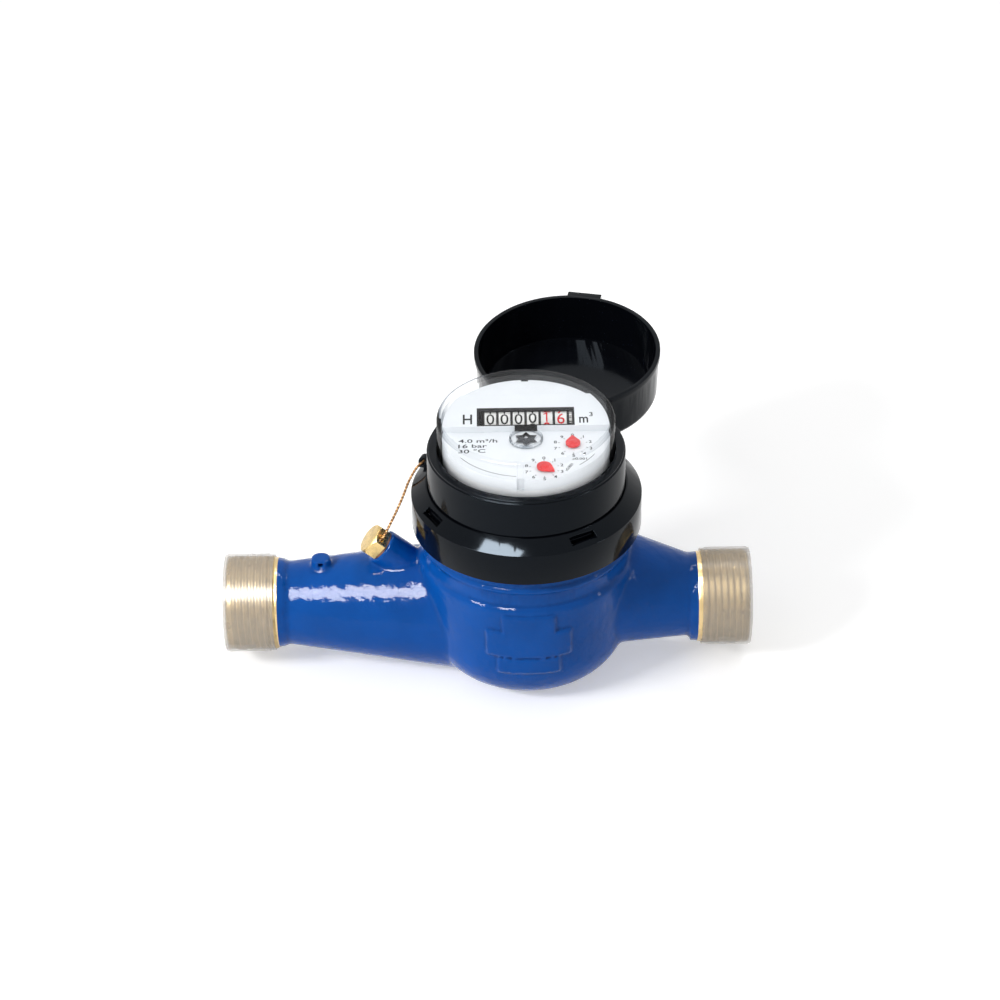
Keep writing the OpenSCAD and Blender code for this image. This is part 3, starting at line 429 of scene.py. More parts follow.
# Steel of the star, darkened as painted reflection: the dark colour stands in for the dark surroundings that
# the shiny star mirrors.
STEEL_PAINTED_DARK = Metal("steel_painted_dark", (0.09, 0.095, 0.105, 1.0), 0.12, depth=0.003 * MM)
SINTERED = Metal("sintered_magnet", (0.09, 0.09, 0.10, 1.0), 0.5, grain=0.2 * MM)
COPPER = Metal("dull_copper", (0.24, 0.13, 0.055, 1.0), 0.4)
RUBBER = MouldedPlastic("black_rubber", (0.02, 0.02, 0.02, 1.0), 0.7)
FIBRE = MouldedPlastic("red_fibre", (0.28, 0.11, 0.05, 1.0), 0.8, grain=0.2 * MM, depth=0.04 * MM)
# The lens plastic's edge colour is painted shade on its rims and edge-on walls.
CLEAR = ClearPlastic("lens_plastic", (0.985, 0.99, 0.995, 1.0), 0.012, edge=(0.30, 0.34, 0.39, 1.0))
BLACK_INK = MouldedPlastic("black_ink", (0.004, 0.004, 0.005, 1.0), 0.5, shine=0.05)
GREY_INK = MouldedPlastic("grey_ink", (0.03, 0.033, 0.04, 1.0), 0.5, shine=0.05)
RED_INK = MouldedPlastic("red_ink", (0.62, 0.012, 0.02, 1.0), 0.5, shine=0.05)
DRUM_FACE = DrumFace("number_drum", (0.78, 0.78, 0.76, 1.0), 0.45, edge=(0.02, 0.02, 0.022, 1.0),
                     pitch=DRUM_PITCH, edge_width=0.45 * MM)
DIAL_FACE = DialFace("white_dial", (0.78, 0.81, 0.84, 1.0), 0.35, border=(0.01, 0.01, 0.012, 1.0),
                     half_width=17.3 * MM, front=1.2 * MM, back=11.0 * MM)

NODE_FINISHES: dict[Finish, tuple[str, ...]] = {
    ENAMEL: ("body",),
    CAP_FILM: ("inlet_cap", "outlet_cap"),
    BLACK_GLOSS: ("head_ring", "shroud", "lid", "counter_frame"),
    WHITE_MOULD: ("strainer", "measuring_chamber", "impeller", "chamber_cover", "slip_ring", "register_base",
                  "first_wheel", "second_wheel", "fast_spindle", "third_wheel", "slow_spindle"),
    BRASS: ("pressure_plate", "regulator_screw", "regulator_plug", "gear_plate"),
    STEEL: ("pivot_pin", "hinge_pin", "centre_spindle", "star_spindle", "star_wheel", "drum_shaft"),
    SINTERED: ("impeller_magnet", "follower_magnet"),
    COPPER: ("seal_wire",),
    RUBBER: ("head_gasket",),
    FIBRE: ("regulator_gasket",),
    RED_MOULD: ("fast_pointer", "slow_pointer"),
    DIAL_FACE: ("dial_plate",),
    DRUM_FACE: tuple(f"drum_{number}" for number in range(1, 7)),
    CLEAR: ("lens",),
}


def deselect() -> None:
    """Leaves edit mode and clears the selection."""
    if bpy.context.object is not None and bpy.context.object.mode != "OBJECT":
        bpy.ops.object.mode_set(mode="OBJECT")
    bpy.ops.object.select_all(action="DESELECT")


def pick(*pieces: Piece) -> None:
    """Selects only these pieces and makes the first one active."""
    deselect()
    for piece in pieces:
        piece.select_set(True)
    bpy.context.view_layer.objects.active = pieces[0]


def linked(name: str, data: bpy.types.ID) -> Piece:
    """Returns a new object with this data, linked to the scene."""
    made = bpy.data.objects.new(name, data)
    bpy.context.scene.collection.objects.link(made)
    return made


def added(name: str, operator: Callable[..., object], **settings: object) -> Piece:
    """Adds a primitive on the origin.

    Args:
        name: The new piece's name.
        operator: The operator that adds it.
        settings: Values for the operator.

    Returns:
        The new piece.
    """
    deselect()
    operator(location=(0, 0, 0), **settings)
    piece = bpy.context.object
    piece.name = name
    return piece


def put(piece: Piece, place: Sequence[float], size: Sequence[float] = (1, 1, 1)) -> Piece:
    """Scales a piece and then moves it, in its mesh, and returns it."""
    piece.data.transform(Matrix.Translation(place) @ Matrix.Diagonal((*size, 1.0)))
    return piece


def middle(box: Sequence[Vector]) -> Vector:
    """Returns the middle of a box, given by its two corners."""
    return (box[0] + box[1]) / 2


def edit(piece: Piece, *steps: Callable[[], object]) -> None:
    """Runs steps in edit mode on the whole of a piece.

    Args:
        piece: The piece to edit.
        steps: Operators to run, in order.
    """
    pick(piece)
    bpy.ops.object.mode_set(mode="EDIT")
    bpy.ops.mesh.select_all(action="SELECT")
    for step in steps:
        step()
    bpy.ops.object.mode_set(mode="OBJECT")


def close_up(piece: Piece, distance: float = 1e-6) -> None:
    """Merges doubled points and turns all faces outwards."""
    edit(piece, lambda: bpy.ops.mesh.remove_doubles(threshold=distance),
         lambda: bpy.ops.mesh.normals_make_consistent(inside=False))


def apply_modifier(piece: Piece, kind: str, **settings: object) -> None:
    """Adds a modifier and applies it at once.

    Args:
        piece: The piece to change.
        kind: The modifier's type.
        settings: Values of its properties.
    """
    pick(piece)
    modifier = piece.modifiers.new(kind.title(), kind)
    for name, value in settings.items():
        setattr(modifier, name, value)
    bpy.ops.object.modifier_apply(modifier=modifier.name)


def smooth_by_angle(piece: Piece, degrees: float = 30.0) -> None:
    """Shades a piece smooth up to an edge angle."""
    pick(piece)
    bpy.ops.object.shade_smooth_by_angle(angle=math.radians(degrees))


def join(name: str, pieces: Sequence[Piece]) -> Piece:
    """Joins pieces into one.

    Args:
        name: Name of the joined piece.
        pieces: The pieces to join.

    Returns:
        The joined piece.
    """
    pick(*pieces)
    bpy.ops.object.join()
    joined = bpy.context.object
    joined.name = name
    joined.data.name = name
    return joined


def hand_over(piece: Piece, slot: Slot, finish: Finish, *nodes: str,
              body: str = Body.METER.value) -> Piece:
    """Dresses a finished piece and gives it its body.

    Args:
        piece: The finished piece, with its place in its mesh.
        slot: The record's slot; not used.
        finish: Its finish.
        nodes: Solids that it stands for.
        body: The body it rides on.

    Returns:
        The same piece.
    """
    piece.data.materials.clear()
    piece.data.materials.append(finish.material())
    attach(piece, body)
    if nodes:
        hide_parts(*nodes)
    LOG.info("%s rides on %s, %d faces", piece.name, body, len(piece.data.polygons))
    return piece


def copy_of(node: str, name: str) -> Piece:
    """Copies a solid's mesh into a new piece with its loose triangles merged.

    Args:
        node: Name of the solid.
        name: Name of the new piece.

    Returns:
        The new piece.
    """
    piece = linked(name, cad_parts[node].data.copy())
    edit(piece, lambda: bpy.ops.mesh.remove_doubles(threshold=SINK / 5))
    return piece


@dataclass(frozen=True)
class SoftEdged:
    """A solid's copy with rounded edges, as a moulding or a turned piece has them."""

    node: str
    name: str
    width: float
    finish: Finish
    slot: Slot = Slot.BLACK
    body: Body = Body.METER
    segments: int = 3
    flat_angle: float = math.radians(1.0)
    sharp_angle: float = math.radians(32.0)

    def build(self) -> Piece:
        """Copies the solid and rounds its sharp edges.

        Returns:
            The piece that stands for the solid.
        """
        piece = copy_of(self.node, self.name)
        edit(piece, lambda: bpy.ops.mesh.dissolve_limited(angle_limit=self.flat_angle))
        apply_modifier(piece, "BEVEL", width=self.width, segments=self.segments, limit_method="ANGLE",
                       angle_limit=self.sharp_angle, use_clamp_overlap=True)
        smooth_by_angle(piece)
        return hand_over(piece, self.slot, self.finish, self.node, body=self.body.value)


def lettering(text: str, height: float, stretch: float = 1.0, gain: float = STROKE_GAIN) -> Piece:
    """Makes flat letters of a real height, centred on the origin and facing up.

    Args:
        text: The letters.
        height: Height of a capital or a digit.
        stretch: Width of the letters against their natural width.
        gain: How much each stroke grows on both sides, against the letters' size.

    Returns:
        The letters as a closed mesh.
    """
    factor = height / CAPITAL
    half_ink = INK_THICKNESS / 2 / factor
    letters = added("letters", bpy.ops.object.text_add)
    letters.data.body = text
    letters.data.resolution_u = 4
    letters.data.offset = gain
    letters.data.extrude = half_ink
    bpy.ops.object.convert(target="MESH")
    letters = bpy.context.object
    left, right = letters.bound_box[0][0], letters.bound_box[6][0]
    put(letters, (-(left + right) / 2, -CAPITAL / 2, half_ink))
    put(letters, (0, 0, 0), (factor * stretch, factor, factor))
    close_up(letters)
    return letters


def flat_bar(width: float, length: float) -> Piece:
    """Returns a thin flat bar of print on the origin, wide along X and long along Y."""
    bar = added("bar", bpy.ops.mesh.primitive_cube_add, size=1.0)
    return put(bar, (0, 0, INK_THICKNESS / 2), (width, length, INK_THICKNESS))


def lay(piece: Piece, place: Vector, turn: float = 0.0, slope: float = 0.0) -> Piece:
    """Moves a flat piece to its place, in its mesh.

    Args:
        piece: The piece, drawn flat on the origin.
        place: Where its origin goes.
        turn: Turn about the vertical, in radians.
        slope: Rise towards the back, in radians.

    Returns:
        The same piece.
    """
    tilt = Matrix.Rotation(slope, 4, "X") @ Matrix.Rotation(turn, 4, "Z")
    piece.data.transform(Matrix.Translation(place) @ tilt)
    return piece


@dataclass
class Casting:
    """Cast and painted body, with the soft corners that a thick coat leaves."""

    grid: float = 0.62 * MM
    corner_reach: float = 1.6 * MM
    corner_rounds: int = 9
    coat_rounds: int = 2
    crease: float = math.radians(14.0)
    most_triangles: int = 150_000
    bowl_half_width: float = 22.0 * MM
    bead_radius: float = 37.6 * MM
    bead_size: float = 0.9 * MM
    bead_height: float = 55.0 * MM
    pad_half_width: float = 17.0 * MM
    pad_front: float = -30.0 * MM

    def corners(self, piece: Piece) -> list[Vector]:
        """Finds points along the inner corners of the casting.

        Args:
            piece: The casting with its sharp corners.

        Returns:
            Points along the inner corners where the pipes and the boss meet the bowl.
        """
        shape = bmesh.new()
        shape.from_mesh(piece.data)
        found = []
        for corner in shape.edges:
            if len(corner.link_faces) != 2 or corner.calc_face_angle_signed() > -self.crease:
                continue
            a, b = (point.co for point in corner.verts)
            steps = max(1, round((b - a).length / self.grid))
            found += [a.lerp(b, step / steps) for step in range(steps + 1)]
        shape.free()
        return [point for point in found if self.is_painted(point) and abs(point.x) > self.bowl_half_width]

    def is_painted(self, point: Vector) -> bool:
        """Tells whether a point lies between the bare ends."""
        return ENAMEL.bare_before < point.x < ENAMEL.bare_after

    def is_pad(self, point: Vector) -> bool:
        """Tells whether a point lies on the raised pad."""
        return point.y < self.pad_front and abs(point.x) < self.pad_half_width

    def smooth(self, piece: Piece, wanted: Callable[[Vector], bool], rounds: int) -> None:
        """Smooths some of a piece's points.

        Args:
            piece: The piece to smooth.
            wanted: Tells which points to smooth, by their place.
            rounds: How often each point moves towards its neighbours.
        """
        edit(piece, lambda: bpy.ops.mesh.select_all(action="DESELECT"))
        for point in piece.data.vertices:
            point.select = wanted(point.co)
        pick(piece)
        bpy.ops.object.mode_set(mode="EDIT")
        bpy.ops.mesh.select_mode(type="VERT")
        bpy.ops.mesh.vertices_smooth(factor=0.5, repeat=rounds)
        bpy.ops.object.mode_set(mode="OBJECT")

    def build(self) -> Piece:
        """Builds the casting.

        Returns:
            The piece that stands for the sharp-cornered solid.
        """
        piece = copy_of("body", "cast_body")
        points = self.corners(piece)
        tree = KDTree(len(points))
        for number, point in enumerate(points):
            tree.insert(point, number)
        tree.balance()
        bead = added("bead", bpy.ops.mesh.primitive_torus_add, major_radius=self.bead_radius,
                     minor_radius=self.bead_size, major_segments=180, minor_segments=16)
        piece = join("cast_body", [piece, put(bead, (0, 0, self.bead_height))])
        apply_modifier(piece, "REMESH", mode="VOXEL", voxel_size=self.grid)
        self.smooth(piece, lambda co: self.is_painted(co) and tree.find(co)[2] < self.corner_reach,
                    self.corner_rounds)
        self.smooth(piece, lambda co: self.is_painted(co) and not self.is_pad(co), self.coat_rounds)
        triangles = sum(len(face.vertices) - 2 for face in piece.data.polygons)
        apply_modifier(piece, "DECIMATE", ratio=min(1.0, self.most_triangles / triangles))
        smooth_by_angle(piece, 50.0)
        return hand_over(piece, Slot.PAINT, ENAMEL, "body")


@dataclass
class PipeThread:
    """Ridge of the pipe thread on one end of the casting.

    The section gives shares of the pitch and of the rise from root to crest.
    """

    name: str
    start: float
    root: float = 16.55 * MM
    crest: float = 17.02 * MM
    pitch: float = 2.309 * MM
    turns: int = 7
    steps: int = 64
    section: tuple[Pair, ...] = ((0.04, 0.0), (0.40, 1.0), (0.60, 1.0), (0.96, 0.0))

    def build(self) -> Piece:
        """Sweeps the ridge's section along its helix.

        Returns:
            The thread.
        """
        ridge = added(self.name, bpy.ops.mesh.primitive_plane_add)
        order = sorted(ridge.data.vertices, key=lambda point: math.atan2(point.co.y, point.co.x))
        for point, (along, rise) in zip(order, self.section):
            point.co = (along * self.pitch, self.root + rise * (self.crest - self.root), 0.0)
        edit(ridge, lambda: bpy.ops.mesh.delete(type="ONLY_FACE"))
        apply_modifier(ridge, "SCREW", axis="X", screw_offset=self.pitch, iterations=self.turns,
                       steps=self.steps, render_steps=self.steps)
        edit(ridge, lambda: bpy.ops.mesh.fill_holes(sides=4),
             lambda: bpy.ops.mesh.normals_make_consistent(inside=False))
        put(ridge, (self.start, 0.0, PIPE_Z))
        smooth_by_angle(ridge, 25.0)
        return hand_over(ridge, Slot.BRASS, THREAD_BRASS)


@dataclass
class SealWire:
    """Twisted pair of wires from the plug to the head ring."""

    strand: float = 0.27 * MM
    spread: float = 0.95
    twist_pitch: float = 2.6 * MM
    step: float = 0.22 * MM
    route: tuple[tuple[float, float, float], ...] = (
        (-56.6, -3.7, 49.9), (-55.3, -3.7, 51.5), (-53.7, -3.7, 53.4), (-51.5, -3.2, 55.9),
        (-49.2, -1.6, 59.8), (-46.8, 0.4, 64.1), (-44.3, 3.2, 68.8), (-42.5, 5.5, 72.7),
        (-40.6, 7.4, 75.7), (-38.9, 9.2, 77.4), (-37.5, 11.0, 77.6), (-36.4, 13.3, 77.4),
        (-35.5, 15.7, 77.3))

    def centre_line(self) -> list[Vector]:
        """Returns close points on a smooth curve through the route."""
        points = [Vector(point) * MM for point in self.route]
        line = []
        for index in range(len(points) - 1):
            before = points[max(index - 1, 0)]
            a, b = points[index], points[index + 1]
            after = points[min(index + 2, len(points) - 1)]
            count = max(2, round((b - a).length / self.step))
            for step in range(count):
                t = step / count
                line.append(0.5 * (2 * a + (b - before) * t + (2 * before - 5 * a + 4 * b - after) * t ** 2
                                   + (3 * a - before - 3 * b + after) * t ** 3))
        return line + [points[-1]]

    def build(self) -> Piece:
        """Winds both strands about the centre line.

        Returns:
            The twisted wire.
        """
        line = self.centre_line()
        strands = []
        for phase in (0.0, math.pi):
            curve = bpy.data.curves.new("strand", "CURVE")
            curve.dimensions = "3D"
            curve.bevel_depth = self.strand
            curve.bevel_resolution = 1
            curve.use_fill_caps = True
            spline = curve.splines.new("POLY")
            spline.points.add(len(line) - 1)
            run = 0.0
            for index, point in enumerate(line):
                ahead = (line[min(index + 1, len(line) - 1)] - line[max(index - 1, 0)]).normalized()
                side = ahead.cross(Vector((0, 1, 0))).normalized()
                turn = phase + run / self.twist_pitch * 2 * math.pi
                offset = side * math.cos(turn) + ahead.cross(side) * math.sin(turn)
                spline.points[index].co = (*(point + offset * self.strand * self.spread), 1.0)
                run += (line[min(index + 1, len(line) - 1)] - point).length
            strand = linked("strand", curve)
            pick(strand)
            bpy.ops.object.convert(target="MESH")
            strands.append(bpy.context.object)
        wire = join("twisted_wire", strands)
        close_up(wire)
        smooth_by_angle(wire, 60.0)
        return hand_over(wire, Slot.COPPER, COPPER, "seal_wire")


@dataclass
class NumberDrums:
    """Printed digits on the six drums of the counter.

    The sizes and the place of the digit one's two bars are shares of the digits' height.
    """

    reading: str = "000016"
    lean: tuple[float, ...] = (0.0, 0.0, 0.0, 3.0, 6.0, 0.0)
    first_red: int = 5
    height: float = 4.35 * MM
    gain: float = 0.003
    one_stem: float = 0.12
    one_flag: Pair = (0.11, 0.34)
    one_flag_at: Pair = (-0.125, 0.375)
    one_flag_turn: float = math.radians(-47.0)
    strips: int = 8
    read_at: float = 22.0
    shift: float = -0.15 * MM
    tally_count: int = 20
    tally_width: float = 1.35 * MM
    tally_inset: float = 0.1 * MM

    def digit(self, value: int) -> Piece:
        """Makes one digit, cut into strips so that it can follow the drum.

        Args:
            value: The digit's value.

        Returns:
            The flat digit.
        """
        if value == 1:
            stem = flat_bar(self.height * self.one_stem, self.height)
            flag = flat_bar(*(self.height * share for share in self.one_flag))
            lay(flag, Vector((*self.one_flag_at, 0.0)) * self.height, self.one_flag_turn)
            made = join("digit_one", [stem, flag])
        else:
            made = lettering(str(value), self.height, gain=self.gain)
        cuts = [self.height * (cut / self.strips - 0.5) for cut in range(1, self.strips)]

        def slice_all() -> None:
            """Cuts the digit at every strip."""
            for cut in cuts:
                bpy.ops.mesh.select_all(action="SELECT")
                bpy.ops.mesh.bisect(plane_co=(0, cut, 0), plane_no=(0, 1, 0))

        edit(made, slice_all)
        return made

    def wrap(self, made: Piece, centre: Vector, radius: float, angle: float) -> None:
        """Lays a flat piece round a drum.

        Args:
            made: The flat piece.
            centre: Middle of the drum.
            radius: The drum's radius.
            angle: Place of the piece from the drum's top towards the front, in radians.
        """
        for point in made.data.vertices:
            x, y, z = point.co
            turn = angle - y / radius
            out = radius - SINK + z
            point.co = centre + Vector((x, -out * math.sin(turn), out * math.cos(turn)))

    def build(self) -> list[Piece]:
        """Prints every drum.

        Returns:
            The digits of each drum, and the last drum's tally marks.
        """
        digits = [self.digit(value) for value in range(10)]
        printed = []
        for number, (shown, lean) in enumerate(zip(self.reading, self.lean), start=1):
            node = f"drum_{number}"
            low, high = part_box(node)
            centre = middle((low, high))
            radius = (high.z - low.z) / 2
            centre.x = low.x + DRUM_PITCH / 2 + self.shift
            row = []
            for value, master in enumerate(digits):
                made = linked("digit", master.data.copy())
                angle = math.radians(self.read_at - lean - DIGIT_STEP * (value - int(shown)))
                self.wrap(made, centre, radius, angle)
                row.append(made)
            piece = join(f"{node}_digits", row)
            close_up(piece)
            ink = RED_INK if number >= self.first_red else BLACK_INK
            printed.append(hand_over(piece, Slot.DRUM, ink, body=node))
        centre.x = high.x - self.tally_width / 2 - self.tally_inset
        printed.append(self.tally(node, centre, radius))
        for master in digits:
            bpy.data.objects.remove(master)
        return printed

    def tally(self, node: str, centre: Vector, radius: float) -> Piece:
        """Prints the tally marks round the last drum's free edge.

        Args:
            node: The drum.
            centre: Middle of the marks on the drum's axis.
            radius: The drum's radius.

        Returns:
            The marks.
        """
        bars = []
        for number in range(self.tally_count):
            bar = flat_bar(self.tally_width, math.pi * radius / self.tally_count)
            self.wrap(bar, centre, radius, 2 * math.pi * number / self.tally_count)
            bars.append(bar)
        piece = join(f"{node}_tally", bars)
        close_up(piece)
        return hand_over(piece, Slot.DRUM, BLACK_INK, body=node)


@dataclass(frozen=True)
class Mark:
    """A printed word: its height, stretch, place on the dial and turn."""

    text: str
    height: float
    stretch: float
    x: float
    y: float
    turn: float = 0.0

    def letters(self) -> Piece:
        """Returns the word's flat letters, on the origin."""
        return lettering(self.text, self.height, self.stretch)


@dataclass
class DialPrint:
    """Print on the dial: units, ratings and the two small scales."""

    bridge_front: Pair = (1.0 * MM, 2.4 * MM)
    bridge_back: Pair = (18.4 * MM, 4.6 * MM)
    units: tuple[Mark, ...] = (Mark("H", 5.2 * MM, 0.72, -20.6 * MM, 5.0 * MM),
                               Mark("m", 4.576 * MM, 0.7, 20.5 * MM, 4.7 * MM),
                               Mark("3", 2.184 * MM, 1.0, 23.2 * MM, 6.9 * MM))
    multipliers: tuple[Mark, ...] = (
        Mark("x0.001", 1.25 * MM, 1.1, 18.4 * MM, -16.6 * MM),
        Mark("x0.0001", 1.125 * MM, 1.0, 14.6 * MM, -21.8 * MM, math.radians(62.0)))
    scale_radius: float = 6.45 * MM
    tick_radii: Pair = (4.8 * MM, 5.4 * MM)
    tick_width: float = 0.22 * MM
    numeral_height: float = 1.6 * MM
    arc_radius: float = 27.4 * MM
    arc_width: float = 0.2 * MM
    arcs: tuple[Pair, ...] = ((213.0, 262.0), (312.0, 330.0))
    ratings: tuple[str, ...] = ("4.0 m³/h", "16 bar", "30 °C")
    ratings_at: Pair = (-23.8 * MM, -4.6 * MM)
    ratings_step: float = 3.2 * MM
    ratings_height: float = 2.1 * MM
    ratings_stretch: float = 1.35

    def on_bridge(self, made: Piece, x: float, y: float) -> Piece:
        """Lays letters on the sloping bridge.

        Args:
            made: The flat letters.
            x: Their place across the dial.
            y: Their place from front to back.

        Returns:
            The same letters.
        """
        run = self.bridge_back[0] - self.bridge_front[0]
        rise = self.bridge_back[1] - self.bridge_front[1]
        slope = math.atan2(rise, run)
        z = DIAL_FACE_Z + self.bridge_front[1] + (y - self.bridge_front[0]) * rise / run
        return lay(made, Vector((x, y, z - SINK)), slope=slope)

    def on_face(self, made: Piece, x: float, y: float, turn: float = 0.0) -> Piece:
        """Lays a mark on the dial's lower face, at a place and a turn."""
        return lay(made, Vector((x, y, DIAL_FACE_Z - SINK)), turn)

    def tick(self) -> Piece:
        """Makes one tick along +Y, from the inner to the outer tick radius."""
        inner, outer = self.tick_radii
        return put(flat_bar(self.tick_width, outer - inner), (0.0, (inner + outer) / 2, 0.0))

    def arc(self, first: float, last: float) -> Piece:
        """Draws a thin arc near the dial's edge.

        Args:
            first: Where it starts, in degrees from +X.
            last: Where it ends.

        Returns:
            The arc.
        """
        strokes = []
        count = round(last - first) // 2
        step = math.radians(last - first) / count
        for number in range(count):
            stroke = put(flat_bar(self.arc_width, self.arc_radius * step), (self.arc_radius, 0.0, 0.0))
            strokes.append(self.on_face(stroke, 0.0, 0.0, math.radians(first) + (number + 0.5) * step))
        return join("dial_arc", strokes)

    def small_scale(self, pointer: str) -> list[Piece]:
        """Prints the ten numerals and ticks round one pointer.

        Args:
            pointer: Name of the pointer's spindle.

        Returns:
            The marks.
        """
        centre = middle(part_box(pointer))
        marks = []
        for value in range(10):
            angle = math.radians(90.0 - DIGIT_STEP * value)
            x = centre.x + self.scale_radius * math.cos(angle)
            y = centre.y + self.scale_radius * math.sin(angle)
            marks.append(self.on_face(lettering(str(value), self.numeral_height), x, y))
            marks.append(self.on_face(self.tick(), centre.x, centre.y, angle - math.pi / 2))
        return marks

    def build(self) -> list[Piece]:
        """Prints the dial.

        Returns:
            The dark and the grey print.
        """
        units = [self.on_bridge(mark.letters(), mark.x, mark.y) for mark in self.units]
        dark = hand_over(join("unit_print", units), Slot.WHITE, BLACK_INK)
        grey = self.small_scale("fast_spindle") + self.small_scale("slow_spindle")
        grey += [self.on_face(mark.letters(), mark.x, mark.y, mark.turn) for mark in self.multipliers]
        grey += [self.arc(*span) for span in self.arcs]
        for line, words in enumerate(self.ratings):
            rating = lettering(words, self.ratings_height, self.ratings_stretch)
            grey.append(self.on_face(rating, self.ratings_at[0] + rating.dimensions.x / 2,
                                     self.ratings_at[1] - line * self.ratings_step))
        pale = hand_over(join("scale_print", grey), Slot.WHITE, GREY_INK)
        return [dark, pale]


@dataclass
class Pinwheel:
    """Faceted star that turns as soon as water flows."""

    points: int = 6
    waist: float = 0.62

    def build(self) -> Piece:
        """Draws a flat cone and pulls every second corner of its foot inwards.

        Returns:
            The star.
        """
        low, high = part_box("star_wheel")
        star = added("pinwheel", bpy.ops.mesh.primitive_cone_add, vertices=2 * self.points,
                     radius1=(high.x - low.x) / 2, radius2=0.0, depth=high.z - low.z)
        foot = sorted((point for point in star.data.vertices if point.co.z < 0.0),
                      key=lambda point: math.atan2(point.co.y, point.co.x))
        for point in foot[1::2]:
            point.co.x *= self.waist
            point.co.y *= self.waist
        put(star, middle((low, high)))
        close_up(star)
        # The star takes the steel darkened as painted reflection.
        return hand_over(star, Slot.STEEL, STEEL_PAINTED_DARK, "star_wheel", body="star_spindle")


@dataclass
class CounterShade:
    """Black plate behind the notch of the bridge, in front of the drums: painted shade that keeps the notch
    dark.
    """

    half_width: float = 4.6 * MM
    front: float = 1.82 * MM
    thickness: float = 0.18 * MM
    rise: float = 2.35 * MM

    def build(self) -> Piece:
        """Stands a thin plate on the dial's face.

        Returns:
            The plate.
        """
        axis = middle(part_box("star_wheel"))
        plate = added("slit_painted_shade", bpy.ops.mesh.primitive_cube_add, size=1.0)
        put(plate, (axis.x, self.front + self.thickness / 2, DIAL_FACE_Z + self.rise / 2 - SINK),
            (2 * self.half_width, self.thickness, self.rise))
        # The plate is painted shade: a dark sheet standing where the notch has only shade.
        return hand_over(plate, Slot.BLACK, BLACK_INK)


@dataclass
class PointerHub:
    """Domed hub of a pointer, over the end of its spindle."""

    body: str
    pointer: str
    radius: float = 1.5 * MM
    rise: float = 0.55 * MM

    def build(self) -> Piece:
        """Flattens a ball on the pointer's top.

        Returns:
            The hub.
        """
        axis = middle(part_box(self.body))
        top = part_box(self.pointer)[1].z
        hub = added(f"{self.pointer}_hub", bpy.ops.mesh.primitive_uv_sphere_add, segments=32, ring_count=16,
                    radius=1.0)
        put(hub, (axis.x, axis.y, top), (self.radius, self.radius, self.rise))
        smooth_by_angle(hub, 60.0)
        return hand_over(hub, Slot.RED, RED_MOULD, body=self.body)


@dataclass
class StarCollar:
    """Clear collar round the star on the dial."""

    inner: float = 5.35 * MM
    outer: float = 5.95 * MM
    height: float = 1.3 * MM
    steps: int = 72
    edge: float = 0.15 * MM

    def build(self) -> Piece:
        """Turns the collar's section about the star's axis.

        Returns:
            The collar.
        """
        collar = added("star_collar", bpy.ops.mesh.primitive_plane_add, size=1.0)
        collar.data.transform(Matrix.Rotation(math.pi / 2, 4, "X"))
        put(collar, ((self.inner + self.outer) / 2, 0.0, self.height / 2),
            (self.outer - self.inner, 1.0, self.height))
        edit(collar, lambda: bpy.ops.mesh.spin(steps=self.steps, angle=2 * math.pi, center=(0, 0, 0),
                                               axis=(0, 0, 1)))
        close_up(collar, SINK)
        axis = middle(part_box("star_wheel"))
        put(collar, (axis.x, axis.y, DIAL_FACE_Z + SINK))
        apply_modifier(collar, "BEVEL", width=self.edge, segments=2, limit_method="ANGLE")
        smooth_by_angle(collar)
        return hand_over(collar, Slot.LENS, CLEAR)


@dataclass(frozen=True)
class Lamp:
    """A rectangular lamp: its place, its width and height, and its glare, where white paper is 1.

    A lamp that doesn't light the meter is only mirrored in it.
    """

    name: str
    place: tuple[float, float, float]
    size: Pair
    glare: float
    lights: bool = True

    def build(self, target: Vector) -> None:
        """Adds the lamp.

        Args:
            target: The point that it is aimed at.
        """
        data = bpy.data.lights.new(self.name, "AREA")
        data.shape = "RECTANGLE"
        data.size, data.size_y = self.size
        data.energy = self.glare * math.pi * self.size[0] * self.size[1]
        lamp = linked(self.name, data)
        lamp.location = self.place
        lamp.visible_diffuse = self.lights
        lamp.visible_transmission = False
        lamp.rotation_euler = (target - lamp.location).to_track_quat("-Z", "Y").to_euler()


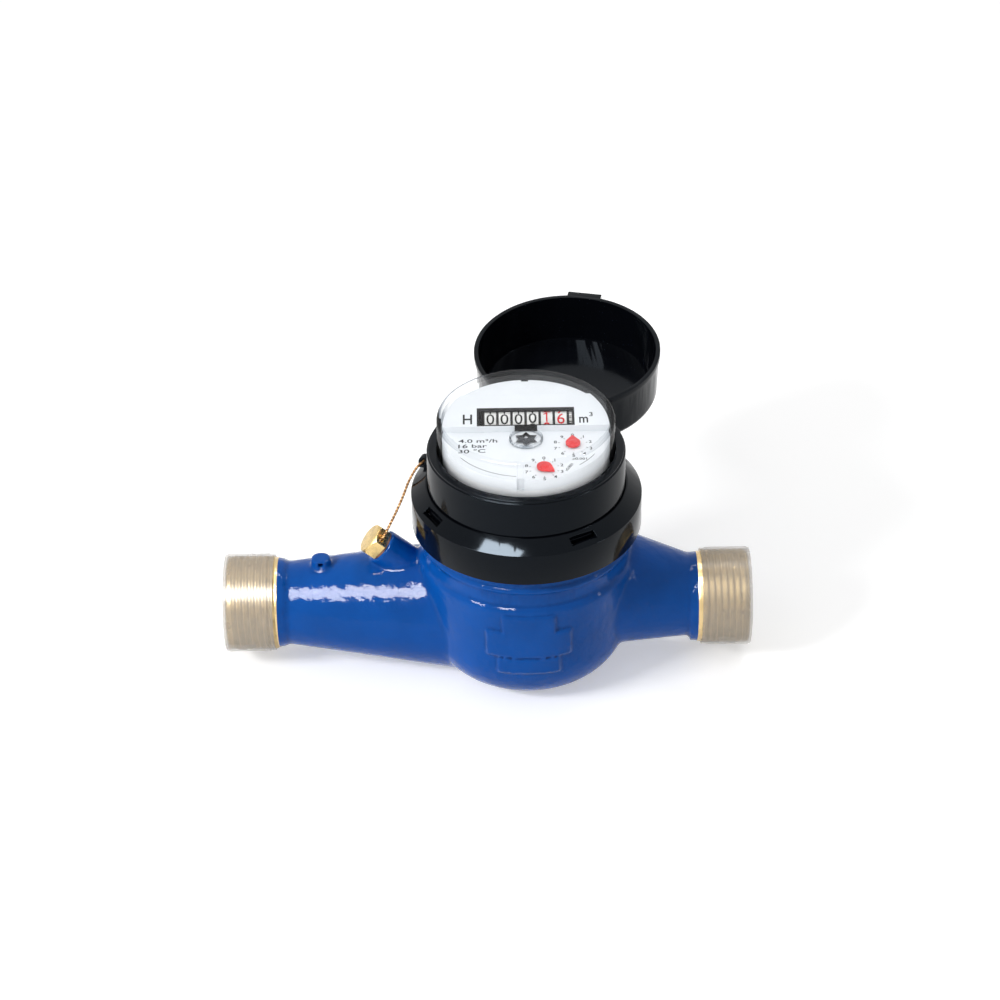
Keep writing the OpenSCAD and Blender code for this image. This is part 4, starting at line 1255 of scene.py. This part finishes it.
@dataclass
class Studio:
    """Pale floor, soft lamps and the camera."""

    target: tuple[float, float, float] = (-9.5 * MM, 0.0, 68.5 * MM)
    distance: float = 1.0
    elevation: float = 34.5
    roll: float = -0.86
    lens: float = 100.3
    sensor: float = 36.0
    floor_size: float = 6.0
    floor_drop: float = 0.05 * MM
    floor_grey: float = 0.86
    floor_glow: float = 0.42
    ambient: float = 0.36
    lamps: tuple[Lamp, ...] = (
        Lamp("key", (-0.75, -0.5, 0.65), (0.3, 0.15), 52.0),
        Lamp("softbox", (-0.35, -0.5, 0.85), (0.5, 0.45), 62.0, lights=False),
        Lamp("fill", (0.8, -0.25, 0.4), (0.03, 0.4), 26.0, lights=False),
        Lamp("rim", (0.2, 0.4, 0.95), (0.6, 0.03), 45.0))

    def pale_rays(self, nodes: Nodes) -> Socket:
        """Tells which rays show the background, by sight, gloss or glass.

        Args:
            nodes: The tree to add to.

        Returns:
            1 for such a ray, and 0 for the others.
        """
        rays = nodes.node("LightPath").outputs
        seen = nodes.math("MAXIMUM", rays["Is Camera Ray"], rays["Is Glossy Ray"])
        return nodes.math("MAXIMUM", seen, rays["Is Transmission Ray"])

    def world(self) -> None:
        """Gives soft light from all round and a white background."""
        world = bpy.data.worlds.new("studio")
        bpy.context.scene.world = world
        world.use_nodes = True
        nodes = Nodes(world.node_tree)
        sky = nodes.tree.nodes["Background"].inputs
        level = nodes.scaled(self.pale_rays(nodes), self.ambient, 1.0, (0.0, 1.0))
        nodes.tree.links.new(level, sky["Strength"])
        sky["Color"].default_value = (1.0, 1.0, 1.0, 1.0)

    def floor(self) -> None:
        """Lays the pale floor, which keeps the meter's shadow."""
        floor = added("floor", bpy.ops.mesh.primitive_plane_add, size=self.floor_size)
        floor.location.z = -self.floor_drop
        shader = Shader("pale_floor")
        grey = (self.floor_grey, self.floor_grey, self.floor_grey, 1.0)
        shader.fix(Base_Color=grey, Roughness=0.9, Emission_Color=(1.0, 1.0, 1.0, 1.0))
        glow = shader.math("MULTIPLY", self.pale_rays(shader), self.floor_glow)
        shader.drive("Emission Strength", glow)
        floor.data.materials.append(shader.material)

    def camera(self) -> None:
        """Sets the camera at the photograph's angle."""
        data = bpy.data.cameras.new("camera")
        data.lens = self.lens
        data.sensor_width = self.sensor
        data.clip_start = 10 * MM
        camera = linked("camera", data)
        rise = math.radians(self.elevation)
        target = Vector(self.target)
        camera.location = target + self.distance * Vector((0.0, -math.cos(rise), math.sin(rise)))
        aim = (target - camera.location).to_track_quat("-Z", "Y")
        camera.rotation_mode = "QUATERNION"
        camera.rotation_quaternion = aim @ Quaternion((0, 0, 1), math.radians(self.roll))
        bpy.context.scene.camera = camera

    def build(self) -> None:
        """Sets up the floor, light and camera."""
        bpy.context.scene.view_settings.view_transform = "Standard"
        self.world()
        self.floor()
        for lamp in self.lamps:
            lamp.build(Vector(self.target))
        self.camera()


def dress_nodes() -> None:
    """Gives every solid its finish."""
    for finish, names in NODE_FINISHES.items():
        for name in names:
            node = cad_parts[name]
            node.data.materials.clear()
            node.data.materials.append(finish.material())


def main() -> None:
    """Builds the studio and every piece of the meter."""
    logging.basicConfig(level=logging.INFO, format="%(name)s: %(message)s")
    Studio().build()
    dress_nodes()
    pieces = (
        Casting(),
        PipeThread("inlet_thread", BODY_LOW.x + INLET_LEAD),
        PipeThread("outlet_thread", BODY_HIGH.x - THREAD_LENGTH + OUTLET_LEAD),
        SealWire(),
        SoftEdged("head_ring", "head_ring_moulding", 0.5 * MM, BLACK_GLOSS),
        SoftEdged("shroud", "shroud_moulding", 0.45 * MM, BLACK_GLOSS),
        SoftEdged("lid", "lid_moulding", 0.35 * MM, BLACK_GLOSS, body=Body.LID),
        SoftEdged("lens", "lens_moulding", 0.5 * MM, CLEAR, Slot.LENS),
        SoftEdged("regulator_plug", "turned_plug", 0.3 * MM, BRASS, Slot.BRASS),
        NumberDrums(),
        DialPrint(),
        CounterShade(),
        Pinwheel(),
        StarCollar(),
        PointerHub("fast_spindle", "fast_pointer"),
        PointerHub("slow_spindle", "slow_pointer"))
    for piece in pieces:
        piece.build()


if __name__ == "__main__":
    main()
